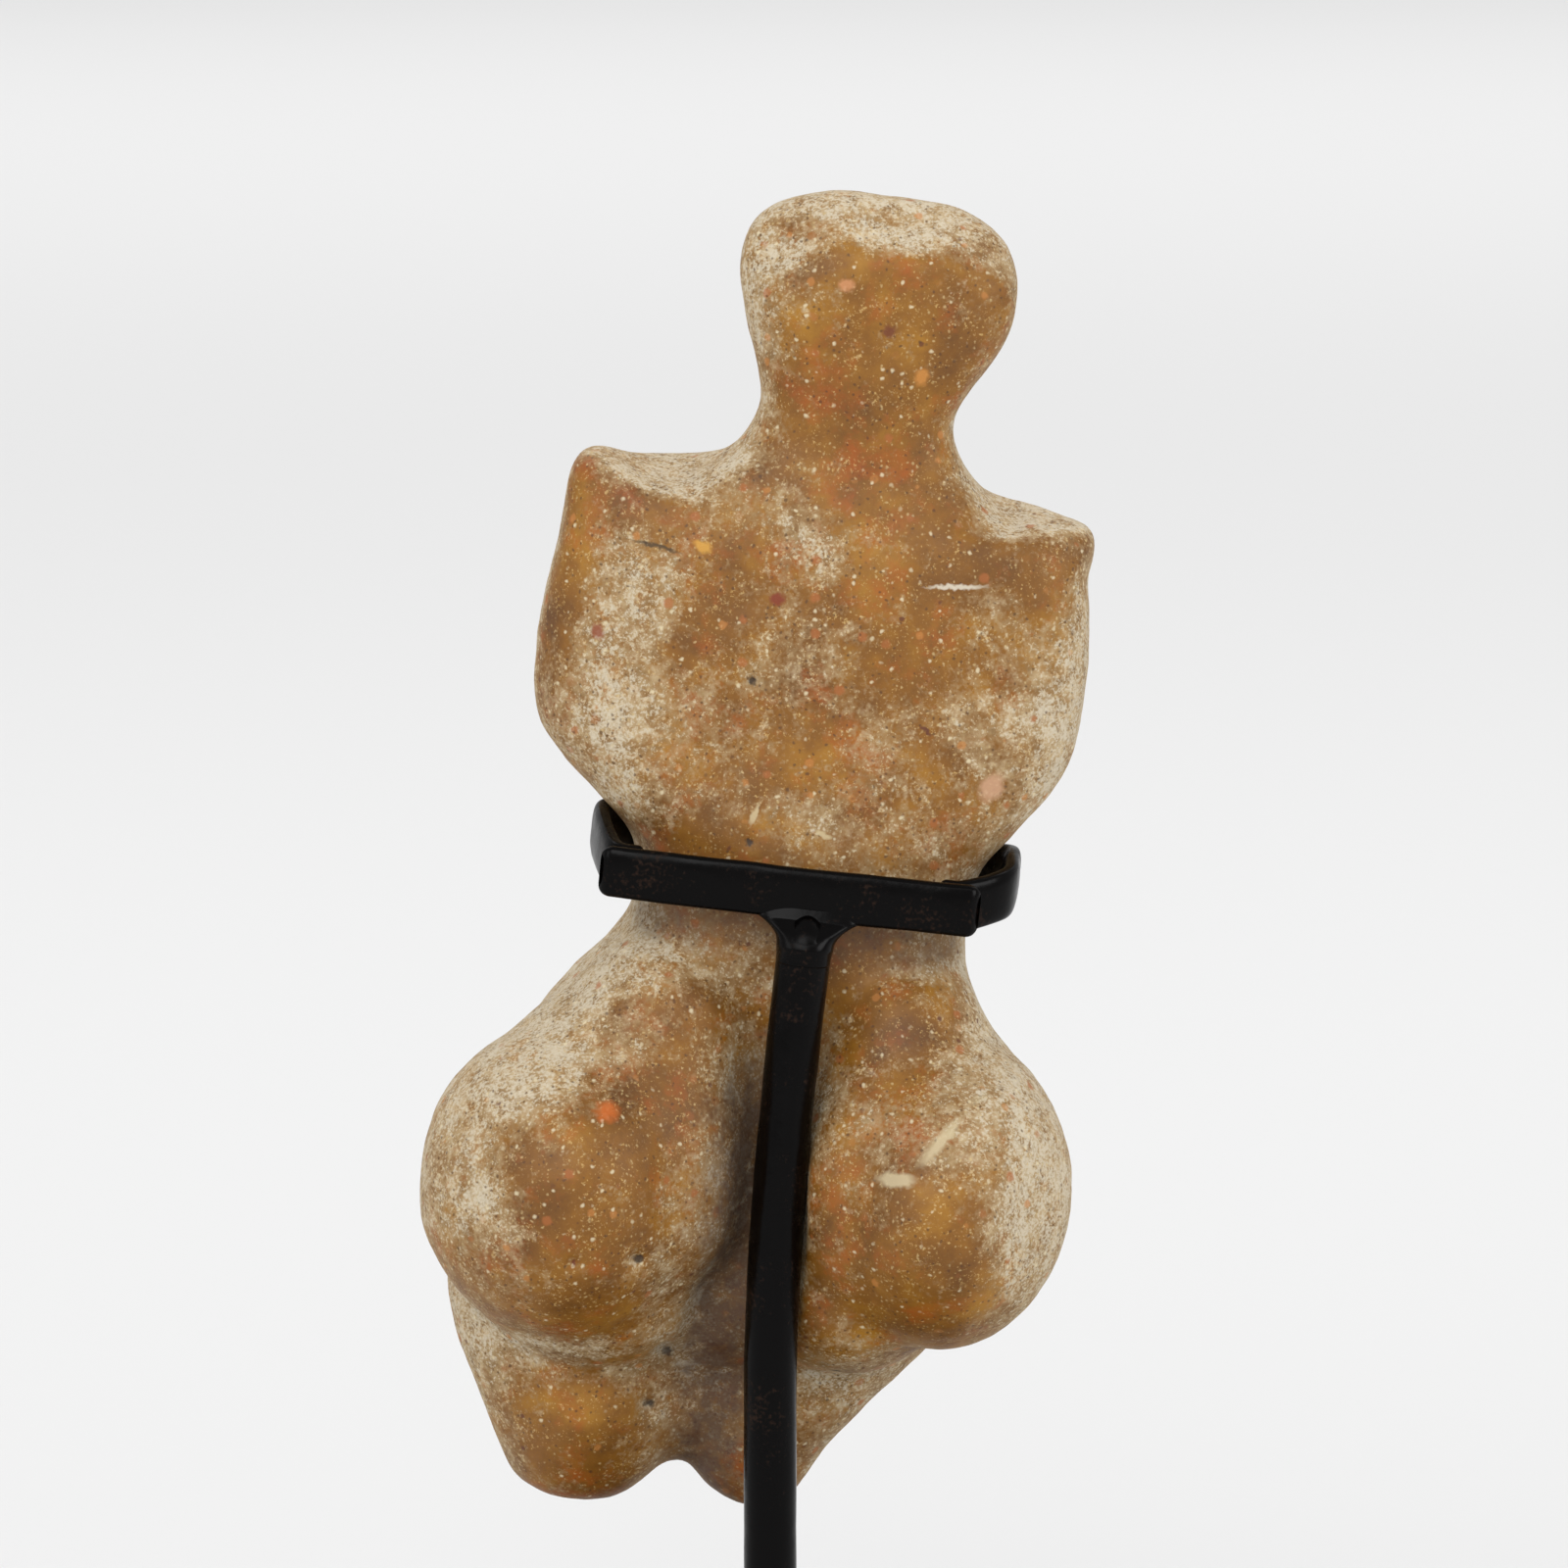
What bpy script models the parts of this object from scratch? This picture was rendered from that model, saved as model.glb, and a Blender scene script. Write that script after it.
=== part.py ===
"""Carved stone idol held at the waist by a black metal display mount on a square base.

Metres, +Z up. The origin is the centre of the base's underside, on the stem's axis.
The idol's back faces -Y, and seen from behind its left shoulder is towards -X.
"""
import math

import bmesh
import bpy
from mathutils import Matrix, Vector

MM = 0.001

# Idol, measured along its own leaning axis from the middle of the waist
FIGURE_SCALE = 1.0
LEAN = math.radians(6.5)
WAIST_ABOVE_SOLES = 79.8 * MM
WAIST_SIDEWAYS = 4.2 * MM
WAIST_WIDTH = 41.0 * MM
WAIST_DEPTH = 29.0 * MM
WAIST_ROUNDNESS = 2.6
WAIST_BAND = 9.6 * MM
WAIST_DROP = 1.6 * MM
CLEFT_FLOOR = 14.5 * MM
LOBE_CREST = 30.5 * MM
STONE_GRAIN = 1.1 * MM
STONE_KEPT_FACES = 0.085

# Collar round the waist
PAD_THICKNESS = 1.0 * MM
PAD_HEIGHT = 5.0 * MM
STRIP_THICKNESS = 2.0 * MM
STRIP_HEIGHT = 6.2 * MM
STRIP_EDGE = 0.6 * MM
BAR_LEFT_REACH = 4.2 * MM
BAR_RIGHT_REACH = 0.5 * MM
BAR_BOW = 0.8 * MM
ARM_LAP = 5.0 * MM
ARM_LEFT_BULGE = 2.2 * MM
ARM_RIGHT_BULGE = 1.7 * MM
ARM_GRIP = (28, 44, 60)
PAD_SPAN = (30, 58)
STEM_OFFSET = 0.7 * MM

# Stem
STEM_DIAMETER = 6.1 * MM
STEM_TO_WAIST = 1.0 * MM
STEM_TO_STONE = 2.4 * MM
STEM_BEND = 55.0 * MM
STEM_BEND_STEPS = 14
STEM_EASE = 1.6
BRAZE_SIZE = 3.4 * MM

# Base and socket
BASE_WIDTH = 100.0 * MM
BASE_HEIGHT = 30.0 * MM
BASE_EDGE = 1.5 * MM
FIGURE_ABOVE_BASE = 45.0 * MM
SOCKET_DEPTH = 22.0 * MM
SOCKET_WALL = 2.8 * MM
BOSS_HEIGHT = 9.0 * MM
FLANGE_DIAMETER = 36.0 * MM
FLANGE_THICKNESS = 3.0 * MM
FLANGE_SCREWS = 3
SCREW_DIAMETER = 3.0 * MM
SCREW_HEAD_DIAMETER = 6.0 * MM
SCREW_LENGTH = 14.0 * MM
COLLAR_WALL = 4.4 * MM
COLLAR_HEIGHT = 7.0 * MM
GRUB_DIAMETER = 3.0 * MM
GRUB_KEY = 1.5 * MM
FOOT_DIAMETER = 14.0 * MM
FOOT_THICKNESS = 2.0 * MM
FOOT_INSET = 12.0 * MM

# Clearance left between faces that touch
GAP = 0.3 * MM

# Heights and radii that follow from the sizes above
base_top = FOOT_THICKNESS + BASE_HEIGHT
flange_top = base_top + GAP + FLANGE_THICKNESS
boss_top = flange_top + BOSS_HEIGHT
collar_bottom = boss_top + GAP
stem_radius = STEM_DIAMETER / 2
bore_radius = stem_radius + GAP
socket_radius = bore_radius + SOCKET_WALL
collar_radius = bore_radius + COLLAR_WALL
waist_z = base_top + FIGURE_ABOVE_BASE + WAIST_ABOVE_SOLES * FIGURE_SCALE
waist_y = CLEFT_FLOOR + STEM_TO_STONE + stem_radius
pad_stack = GAP + PAD_THICKNESS + GAP

# Frame of the leaning idol and its collar
leaning = Matrix.Translation((WAIST_SIDEWAYS, waist_y, waist_z)) @ Matrix.Rotation(LEAN, 4, 'Y')


def clearScene():
    for item in list(bpy.data.objects):
        bpy.data.objects.remove(item, do_unlink=True)


def makeCollection(name):
    group = bpy.data.collections.new(name)
    bpy.context.scene.collection.children.link(group)
    return group


clearScene()
partsGroup = makeCollection('fertility_figure_on_mount')
cutterGroup = makeCollection('cutters')


def makeMaterial(name, colour, roughness, metallic):
    material = bpy.data.materials.new(name)
    material.use_nodes = True
    shader = material.node_tree.nodes['Principled BSDF']
    shader.inputs['Base Color'].default_value = (*colour, 1)
    shader.inputs['Roughness'].default_value = roughness
    shader.inputs['Metallic'].default_value = metallic
    return material


stone = makeMaterial('ochre_limestone', (0.35, 0.20, 0.08), 0.6, 0)
blackPaint = makeMaterial('black_paint', (0.006, 0.005, 0.005), 0.25, 0)
suede = makeMaterial('dark_suede', (0.03, 0.015, 0.012), 0.95, 0)
steel = makeMaterial('blackened_steel', (0.12, 0.12, 0.12), 0.35, 1)
brass = makeMaterial('screw_brass', (0.5, 0.35, 0.12), 0.3, 1)
lacquer = makeMaterial('black_lacquered_wood', (0.008, 0.007, 0.007), 0.3, 0)
felt = makeMaterial('black_felt', (0.015, 0.015, 0.017), 1, 0)


def addObject(name, mesh, material, group=None):
    item = bpy.data.objects.new(name, mesh)
    (group or partsGroup).objects.link(item)
    if material:
        mesh.materials.append(material)
    return item


def meshFrom(name, bm):
    bmesh.ops.recalc_face_normals(bm, faces=bm.faces)
    mesh = bpy.data.meshes.new(name)
    bm.to_mesh(mesh)
    bm.free()
    return mesh


def smoothShade(item, degrees=35):
    item.data.shade_smooth()
    item.data.set_sharp_from_angle(angle=math.radians(degrees))


def cut(item, cutter):
    cutter.hide_render = True
    cutter.display_type = 'WIRE'
    step = item.modifiers.new('cut', 'BOOLEAN')
    step.operation = 'DIFFERENCE'
    step.object = cutter


def power(value, exponent):
    return math.copysign(abs(value) ** exponent, value)


# A section of the carving: height, left and right edge, back and front edge, roundness.
# A roundness of 2 is an ellipse, and more is squarer.
def sectionRing(bm, section, points=36):
    height, left, right, back, front, roundness = section
    middle = ((left + right) / 2, (back + front) / 2)
    half = ((right - left) / 2, (front - back) / 2)
    ring = []
    for step in range(points):
        angle = 2 * math.pi * step / points
        x = middle[0] + half[0] * power(math.cos(angle), 2 / roundness)
        y = middle[1] + half[1] * power(math.sin(angle), 2 / roundness)
        ring.append(bm.verts.new((x, y, height)))
    return ring


def addLoft(bm, sections):
    rings = [sectionRing(bm, section) for section in sections]
    for lower, upper in zip(rings, rings[1:]):
        edges = []
        for ring in (lower, upper):
            for first, second in zip(ring, ring[1:] + ring[:1]):
                edges.append(bm.edges.get((first, second)) or bm.edges.new((first, second)))
        bmesh.ops.bridge_loops(bm, edges=edges)
    bm.faces.new(rings[0])
    bm.faces.new(rings[-1])


def addBlob(bm, centre, radii, turn=0.0):
    place = Matrix.Translation(centre) @ Matrix.Rotation(turn, 4, 'Y') @ Matrix.Diagonal((*radii, 1))
    bmesh.ops.create_uvsphere(bm, u_segments=32, v_segments=20, radius=1, matrix=place)


def scaled(section):
    return tuple(value * MM * FIGURE_SCALE for value in section[:5]) + (section[5],)


# The carving's trunk from the hips up to the crown. The waist's own rings take the waist's named
# sizes, so the collar always fits them.
def trunkSections():
    halfWidth = WAIST_WIDTH / 2
    halfDepth = WAIST_DEPTH / 2
    floor = -CLEFT_FLOOR / MM / FIGURE_SCALE
    below = [scaled(section) for section in (
        (-62, -20, 12, -6, 8, 2.2),
        (-54, -31, 22, floor + 4, 14, 2.3),
        (-45, -34, 29, floor + 1, 17, 2.3),
        (-36, -35, 30, floor, 18.5, 2.3),
        (-27, -33, 29, floor + 1, 19, 2.3),
        (-20, -30.5, 27, floor + 2, 18.5, 2.3),
        (-14.5, -26.5, 23.5, floor + 2.5, 16.5, 2.4))]
    waist = [(height - WAIST_DROP, -halfWidth, halfWidth, -halfDepth, halfDepth, WAIST_ROUNDNESS)
             for height in (-WAIST_BAND / 2, 0, WAIST_BAND / 2)]
    above = [scaled(section) for section in (
        (5.8, -25, 23.4, -13.5, 14.5, 2.8),
        (9, -28.5, 25.5, -13, 14.5, 2.9),
        (15, -34, 29.5, -12.5, 14.5, 3),
        (20, -35.5, 31, -12, 14.5, 3.2),
        (30, -35, 31, -11.5, 13, 3.4),
        (39, -34, 30, -10.5, 11.5, 3.6),
        (44.5, -33.3, 29, -9, 10.5, 3.4),
        (47, -31, 24, -8, 10, 3),
        (49, -22, 18, -8, 9, 2.8),
        (51, -14.5, 13.5, -7.5, 8, 2.6),
        (56, -11.8, 11.6, -7.5, 8, 2.6),
        (61, -12.8, 13.6, -8, 8.5, 2.6),
        (67, -14.9, 16.9, -8.5, 9, 2.8),
        (73, -16.2, 17.4, -8.5, 9.5, 3),
        (78, -14.8, 15.8, -7.5, 9, 2.8),
        (80.5, -11, 12, -5, 7.5, 2.4),
        (82.5, -6, 8, -2, 5, 2))]
    return below + waist + above


def legSections(side):
    if side == 'left':
        table = ((-80.5, -24, -16, -3, 5, 2), (-78.5, -27, -12, -6, 9, 2.1),
                 (-74.5, -29.5, -7, -8, 11.5, 2.2), (-69, -32.2, -4, -9, 13, 2.3),
                 (-62, -36, -4, -9.5, 14.5, 2.4), (-54, -38, -4, -10, 15.5, 2.4),
                 (-46, -37, -6, -9, 15, 2.4))
    else:
        table = ((-79.5, 0.5, 5, -1, 5, 2), (-77, -5, 7.5, -3, 8.5, 2.1),
                 (-72, -6, 11, -5.5, 11.5, 2.2), (-65, -5, 15.5, -7.5, 13.5, 2.3),
                 (-58, -4, 22, -9, 15, 2.4), (-50, -4, 28, -9, 15.5, 2.4))
    return [scaled(section) for section in table]


def placeOf(*values):
    return tuple(value * MM * FIGURE_SCALE for value in values)


def makeFigure():
    bm = bmesh.new()
    addLoft(bm, trunkSections())
    addLoft(bm, legSections('left'))
    addLoft(bm, legSections('right'))
    lobeDepth = LOBE_CREST / MM / FIGURE_SCALE - 10
    addBlob(bm, placeOf(-25, -10, -39.5), placeOf(17.4, lobeDepth, 20.5))
    addBlob(bm, placeOf(20.9, -10, -36), placeOf(15.8, lobeDepth, 19.5))
    addBlob(bm, placeOf(-18, -6.5, -28), placeOf(16.5, 15.5, 15))
    addBlob(bm, placeOf(15.5, -6.5, -27), placeOf(14.5, 15.5, 15))
    for side in (-1, 1):
        addBlob(bm, placeOf(side * 12 - 2, 10, 22), placeOf(9.5, 8.5, 9.5))
    addBlob(bm, placeOf(-2, 8, -24), placeOf(22, 13, 16))
    figure = addObject('figure', meshFrom('figure', bm), stone)
    figure.matrix_world = leaning
    fuse = figure.modifiers.new('fuse', 'REMESH')
    fuse.mode = 'VOXEL'
    fuse.voxel_size = STONE_GRAIN
    rub = figure.modifiers.new('rub_smooth', 'SMOOTH')
    rub.factor = 0.5
    rub.iterations = 10
    thin = figure.modifiers.new('thin_out', 'DECIMATE')
    thin.ratio = STONE_KEPT_FACES
    return figure


# Plan of the waist: the point at an angle on an outline standing off it by a distance,
# with the angle measured from the right side towards the front.
def waistPoint(angle, standoff):
    halfWidth = WAIST_WIDTH / 2
    halfDepth = WAIST_DEPTH / 2
    across = power(math.cos(angle), 2 / WAIST_ROUNDNESS)
    along = power(math.sin(angle), 2 / WAIST_ROUNDNESS)
    normal = Vector((power(math.cos(angle), 2 - 2 / WAIST_ROUNDNESS) / halfWidth,
                     power(math.sin(angle), 2 - 2 / WAIST_ROUNDNESS) / halfDepth))
    normal.normalize()
    return Vector((halfWidth * across, halfDepth * along)) + normal * standoff


# A flat strip standing on edge along a plan path round the waist.
def makeStrip(name, path, height, thickness, material, rounding):
    bm = bmesh.new()
    bottom = -height / 2
    verts = [bm.verts.new((point[0], point[1], bottom)) for point in path]
    edges = [bm.edges.new(pair) for pair in zip(verts, verts[1:])]
    raised = bmesh.ops.extrude_edge_only(bm, edges=edges)['geom']
    top = [part for part in raised if isinstance(part, bmesh.types.BMVert)]
    bmesh.ops.translate(bm, verts=top, vec=(0, 0, height))
    mesh = bpy.data.meshes.new(name)
    bm.to_mesh(mesh)
    bm.free()
    item = addObject(name, mesh, material)
    item.matrix_world = leaning
    plate = item.modifiers.new('plate', 'SOLIDIFY')
    plate.thickness = thickness
    plate.offset = 0
    plate.use_even_offset = True
    if rounding:
        edge = item.modifiers.new('round_edges', 'BEVEL')
        edge.width = rounding
        edge.segments = 2
        edge.limit_method = 'ANGLE'
        edge.angle_limit = math.radians(50)
    return item


# The bar stands off the back of the waist by the pad, and each arm laps inside the bar's end,
# where the waist curves away and leaves room for it.
bar_left = -WAIST_WIDTH / 2 - BAR_LEFT_REACH
bar_right = WAIST_WIDTH / 2 + BAR_RIGHT_REACH
bar_y = -(WAIST_DEPTH / 2 + pad_stack + STRIP_THICKNESS / 2)
lap_y = bar_y + STRIP_THICKNESS + GAP


# The bar bows outwards by a little in its middle.
def makeBar():
    path = []
    for step in range(13):
        share = step / 12
        x = bar_left + (bar_right - bar_left) * share
        path.append((x, bar_y - BAR_BOW * math.sin(math.pi * share)))
    return makeStrip('back_bar', path, STRIP_HEIGHT, STRIP_THICKNESS, blackPaint, STRIP_EDGE)


# A smooth path through hand-set points, with a few steps to each stretch.
def smoothPath(points, steps=5):
    ends = [points[0] * 2 - points[1]] + points + [points[-1] * 2 - points[-2]]
    path = []
    for first, start, end, last in zip(ends, ends[1:], ends[2:], ends[3:]):
        for step in range(steps):
            t = step / steps
            path.append(0.5 * (2 * start + (end - first) * t
                               + (2 * first - 5 * start + 4 * end - last) * t * t
                               + (3 * start - first - 3 * end + last) * t ** 3))
    path.append(points[-1])
    return path


# Each arm leaves its lap, swings out past the waist and closes round the front on its pad.
def makeArm(name, side, barEnd, bulge):
    standoff = pad_stack + STRIP_THICKNESS / 2
    flank = WAIST_WIDTH / 2 + standoff
    points = [Vector((barEnd - side * ARM_LAP, lap_y)),
              Vector((barEnd - side * ARM_LAP * 0.4, lap_y)),
              Vector((side * (flank + bulge * 0.5), lap_y + 0.14 * WAIST_DEPTH)),
              Vector((side * (flank + bulge), lap_y + 0.36 * WAIST_DEPTH)),
              Vector((side * (flank + bulge * 0.8), 0.04 * WAIST_DEPTH))]
    for degrees in ARM_GRIP:
        point = waistPoint(math.radians(degrees), standoff)
        points.append(Vector((side * point.x, point.y)))
    return makeStrip(name, smoothPath(points), STRIP_HEIGHT, STRIP_THICKNESS, blackPaint, STRIP_EDGE)


def makePad(name, start, end):
    path = [waistPoint(math.radians(start + (end - start) * step / 10), GAP + PAD_THICKNESS / 2)
            for step in range(11)]
    return makeStrip(name, path, PAD_HEIGHT, PAD_THICKNESS, suede, 0)


stem_y = -(WAIST_DEPTH / 2 + STEM_TO_WAIST + stem_radius)


# The rod leaves square to the leaning bar, eases out of the cleft, and runs upright to the socket.
def makeStem():
    start = leaning @ Vector((STEM_OFFSET, stem_y, -STRIP_HEIGHT / 2 - GAP))
    route = []
    for step in range(STEM_BEND_STEPS + 1):
        share = step / STEM_BEND_STEPS
        sway = (1 - share) ** STEM_EASE
        route.append(Vector((start.x * sway, start.y * sway, start.z - STEM_BEND * share)))
    route.append(Vector((0, 0, stem_bottom)))
    curve = bpy.data.curves.new('stem', 'CURVE')
    curve.dimensions = '3D'
    curve.bevel_depth = stem_radius
    curve.bevel_resolution = 3
    curve.use_fill_caps = True
    spline = curve.splines.new('POLY')
    spline.points.add(len(route) - 1)
    for point, place in zip(spline.points, route):
        point.co = (*place, 1)
    return addObject('stem', curve, blackPaint)


# Filler metal in a corner of the T joint, with a hollow face.
def makeBraze(name, side):
    bm = bmesh.new()
    near = stem_radius + GAP
    outline = [Vector((near, 0)), Vector((near + BRAZE_SIZE, 0))]
    for step in range(1, 7):
        angle = math.pi / 2 * step / 7
        outline.append(Vector((near + BRAZE_SIZE * (1 - math.sin(angle)),
                               -BRAZE_SIZE * (1 - math.cos(angle)))))
    outline.append(Vector((near, -BRAZE_SIZE)))
    under = -STRIP_HEIGHT / 2 - GAP
    depth = stem_radius * 0.8
    corners = [bm.verts.new((STEM_OFFSET + side * point.x, stem_y - depth, under + point.y))
               for point in outline]
    face = bm.faces.new(corners)
    grown = bmesh.ops.extrude_face_region(bm, geom=[face])['geom']
    far = [part for part in grown if isinstance(part, bmesh.types.BMVert)]
    bmesh.ops.translate(bm, verts=far, vec=(0, 2 * depth, 0))
    item = addObject(name, meshFrom(name, bm), blackPaint)
    item.matrix_world = leaning
    return item


# A solid of revolution about +Z: the profile is a closed outline of (radius, height) points,
# read down its outer side.
def makeTurned(name, profile, material, steps=40, closed=True, group=None):
    bm = bmesh.new()
    verts = [bm.verts.new((radius, 0, height)) for radius, height in profile]
    for pair in zip(verts, verts[1:] + (verts[:1] if closed else [])):
        bm.edges.new(pair)
    mesh = bpy.data.meshes.new(name)
    bm.to_mesh(mesh)
    bm.free()
    item = addObject(name, mesh, material, group)
    turn = item.modifiers.new('turn', 'SCREW')
    turn.steps = steps
    turn.render_steps = steps
    turn.use_merge_vertices = True
    turn.merge_threshold = 0.00001
    turn.use_normal_calculate = True
    return item


def makeRod(name, radius, bottom, top, material=None, sides=32, group=None):
    bm = bmesh.new()
    middle = Matrix.Translation((0, 0, (bottom + top) / 2))
    bmesh.ops.create_cone(bm, cap_ends=True, segments=sides, radius1=radius, radius2=radius,
                          depth=top - bottom, matrix=middle)
    return addObject(name, meshFrom(name, bm), material, group)


screw_places = []
for number in range(FLANGE_SCREWS):
    angle = math.radians(90 + 360 * number / FLANGE_SCREWS)
    ring_radius = (FLANGE_DIAMETER / 2 + socket_radius) / 2
    screw_places.append(Vector((ring_radius * math.cos(angle), ring_radius * math.sin(angle), flange_top)))

screw_radius = SCREW_DIAMETER / 2
head_radius = SCREW_HEAD_DIAMETER / 2
head_slope = head_radius - screw_radius


# The countersunk screw's outline below its place, grown by a clearance for its hole.
def screwProfile(grow, top):
    return [(0, top), (head_radius + grow, top), (head_radius + grow, -0.3 * MM),
            (screw_radius + grow, -0.3 * MM - head_slope), (screw_radius + grow, -SCREW_LENGTH - grow),
            (0, -SCREW_LENGTH - grow)]


def makeScrewHole(name, place):
    hole = makeTurned(name, screwProfile(GAP, MM), None, 24, False, cutterGroup)
    hole.location = place
    return hole


screw_holes = [makeScrewHole('screw_hole', place) for place in screw_places]


def makeSocket():
    bottom = base_top - SOCKET_DEPTH
    floor = bottom + 2 * MM
    flange_radius = FLANGE_DIAMETER / 2
    profile = [(bore_radius, boss_top), (socket_radius, boss_top), (socket_radius, flange_top),
               (flange_radius, flange_top), (flange_radius, base_top + GAP),
               (socket_radius, base_top + GAP), (socket_radius, bottom), (0, bottom), (0, floor),
               (bore_radius, floor)]
    socket = makeTurned('stem_socket', profile, steel)
    for hole in screw_holes:
        cut(socket, hole)
    return socket


def makeFlangeScrews():
    for number, place in enumerate(screw_places, start=1):
        screw = makeTurned(f'flange_screw_{number}', screwProfile(0, 0), brass, 24, False)
        screw.location = place
        bm = bmesh.new()
        size = Matrix.Diagonal((SCREW_HEAD_DIAMETER * 1.2, 0.8 * MM, 1.6 * MM, 1))
        bmesh.ops.create_cube(bm, size=1, matrix=size)
        slot = addObject(f'screw_slot_{number}', meshFrom('screw_slot', bm), None, cutterGroup)
        slot.location = place
        slot.rotation_euler.z = math.radians(25 * number)
        cut(screw, slot)


def makeCollar():
    top = collar_bottom + COLLAR_HEIGHT
    edge = 0.5 * MM
    profile = [(bore_radius, top), (collar_radius - edge, top), (collar_radius, top - edge),
               (collar_radius, collar_bottom + edge), (collar_radius - edge, collar_bottom),
               (bore_radius, collar_bottom)]
    collar = makeTurned('stop_collar', profile, steel)
    hole = makeRod('grub_hole', GRUB_DIAMETER / 2 + GAP, 0, collar_radius + MM, None, 24, cutterGroup)
    hole.matrix_world = grub_axis
    cut(collar, hole)
    grub = makeRod('collar_screw', GRUB_DIAMETER / 2, bore_radius, collar_radius - GAP, steel, 24)
    grub.matrix_world = grub_axis
    key = makeRod('grub_key', GRUB_KEY / 2 / math.cos(math.radians(30)), collar_radius - 2 * MM,
                  collar_radius + MM, None, 6, cutterGroup)
    key.matrix_world = grub_axis
    cut(grub, key)


def makeBase():
    bm = bmesh.new()
    middle = Matrix.Translation((0, 0, FOOT_THICKNESS + BASE_HEIGHT / 2))
    size = Matrix.Diagonal((BASE_WIDTH, BASE_WIDTH, BASE_HEIGHT, 1))
    bmesh.ops.create_cube(bm, size=1, matrix=middle @ size)
    base = addObject('base_block', meshFrom('base_block', bm), lacquer)
    edge = base.modifiers.new('soft_edges', 'BEVEL')
    edge.width = BASE_EDGE
    edge.segments = 3
    well = makeRod('socket_well', socket_radius + GAP, base_top - SOCKET_DEPTH - GAP, base_top + MM,
                   None, 40, cutterGroup)
    cut(base, well)
    for hole in screw_holes:
        cut(base, hole)


def makeFeet():
    place = BASE_WIDTH / 2 - FOOT_INSET
    corners = [(-place, -place), (place, -place), (place, place), (-place, place)]
    for number, (x, y) in enumerate(corners, start=1):
        foot = makeRod(f'foot_{number}', FOOT_DIAMETER / 2, 0, FOOT_THICKNESS - GAP, felt)
        foot.location = (x, y, 0)


stem_bottom = base_top - SOCKET_DEPTH + 2 * MM + GAP
grub_axis = (Matrix.Translation((0, 0, collar_bottom + COLLAR_HEIGHT / 2))
             @ Matrix.Rotation(math.pi / 2, 4, 'X'))

makeFigure()
makeBar()
makeArm('left_arm', -1, bar_left, ARM_LEFT_BULGE)
makeArm('right_arm', 1, bar_right, ARM_RIGHT_BULGE)
makePad('pad_back', 240, 300)
makePad('pad_right', *PAD_SPAN)
makePad('pad_left', 180 - PAD_SPAN[1], 180 - PAD_SPAN[0])
makeStem()
makeBraze('braze_fillet_left', -1)
makeBraze('braze_fillet_right', 1)
makeSocket()
makeFlangeScrews()
makeCollar()
makeBase()
makeFeet()

for item in partsGroup.objects:
    if item.type == 'MESH':
        smoothShade(item)
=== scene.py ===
import math

import bmesh
import bpy
import numpy as np
from mathutils import Matrix, Vector, noise


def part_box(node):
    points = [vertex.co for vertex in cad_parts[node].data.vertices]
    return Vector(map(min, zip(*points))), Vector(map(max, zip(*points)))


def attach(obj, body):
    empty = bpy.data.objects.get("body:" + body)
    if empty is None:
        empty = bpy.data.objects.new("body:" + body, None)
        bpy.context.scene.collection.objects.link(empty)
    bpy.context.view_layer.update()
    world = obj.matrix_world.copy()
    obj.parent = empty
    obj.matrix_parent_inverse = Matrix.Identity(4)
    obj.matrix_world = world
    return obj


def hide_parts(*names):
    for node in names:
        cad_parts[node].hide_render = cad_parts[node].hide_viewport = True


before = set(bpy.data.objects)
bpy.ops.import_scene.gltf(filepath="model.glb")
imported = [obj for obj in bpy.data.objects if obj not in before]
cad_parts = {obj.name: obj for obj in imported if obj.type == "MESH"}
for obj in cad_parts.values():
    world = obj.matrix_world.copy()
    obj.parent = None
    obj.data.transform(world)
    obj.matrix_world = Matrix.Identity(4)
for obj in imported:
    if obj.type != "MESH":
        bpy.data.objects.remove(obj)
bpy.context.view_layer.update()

mm = 0.001
noise.seed_set(5)  # dents and ripples come out the same every time
sharpAngle = math.radians(32)  # edges that bend more than this stay crisp on machined pieces


def linearColour(code):
    channels = [int(code[place:place + 2], 16) / 255 for place in (1, 3, 5)]
    return tuple(c / 12.92 if c <= 0.04045 else ((c + 0.055) / 1.055) ** 2.4 for c in channels) + (1.0,)


def newMaterial(name):
    material = bpy.data.materials.new(name)
    material.use_nodes = True
    return material, material.node_tree, material.node_tree.nodes['Principled BSDF']


# Each input is a value, a colour code, another node, or a node with the number or name of its output
def setInputs(tree, node, inputs):
    for key, value in inputs.items():
        source = value if isinstance(value, tuple) and isinstance(value[0], bpy.types.Node) else (value, 0)
        if isinstance(source[0], bpy.types.Node):
            tree.links.new(source[0].outputs[source[1]], node.inputs[key])
        else:
            node.inputs[key].default_value = linearColour(value) if isinstance(value, str) else value


# Adds a node. Settings are its own properties, and stops fill a colour ramp
def addNode(tree, kind, inputs=None, stops=(), **settings):
    node = tree.nodes.new('ShaderNode' + kind)
    for key, value in settings.items():
        setattr(node, key, value)
    setInputs(tree, node, inputs or {})
    while stops and len(node.color_ramp.elements) < len(stops):
        node.color_ramp.elements.new(0.5)
    for number, (place, colour) in enumerate(stops):
        node.color_ramp.elements[number].position = place
        node.color_ramp.elements[number].color = linearColour(colour)
    return node


def addObject(name, data):
    added = bpy.data.objects.new(name, data)
    bpy.context.scene.collection.objects.link(added)
    return added


def meshFrom(name, bm):
    mesh = bpy.data.meshes.new(name)
    bm.to_mesh(mesh)
    bm.free()
    return mesh


# The mesh that an object's modifiers make; the object and the tools it used are then thrown away
def applied(made, tools=()):
    mesh = bpy.data.meshes.new_from_object(made.evaluated_get(bpy.context.evaluated_depsgraph_get()))
    for item in (*tools, made):
        bpy.data.objects.remove(item, do_unlink=True)
    return mesh


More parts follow.
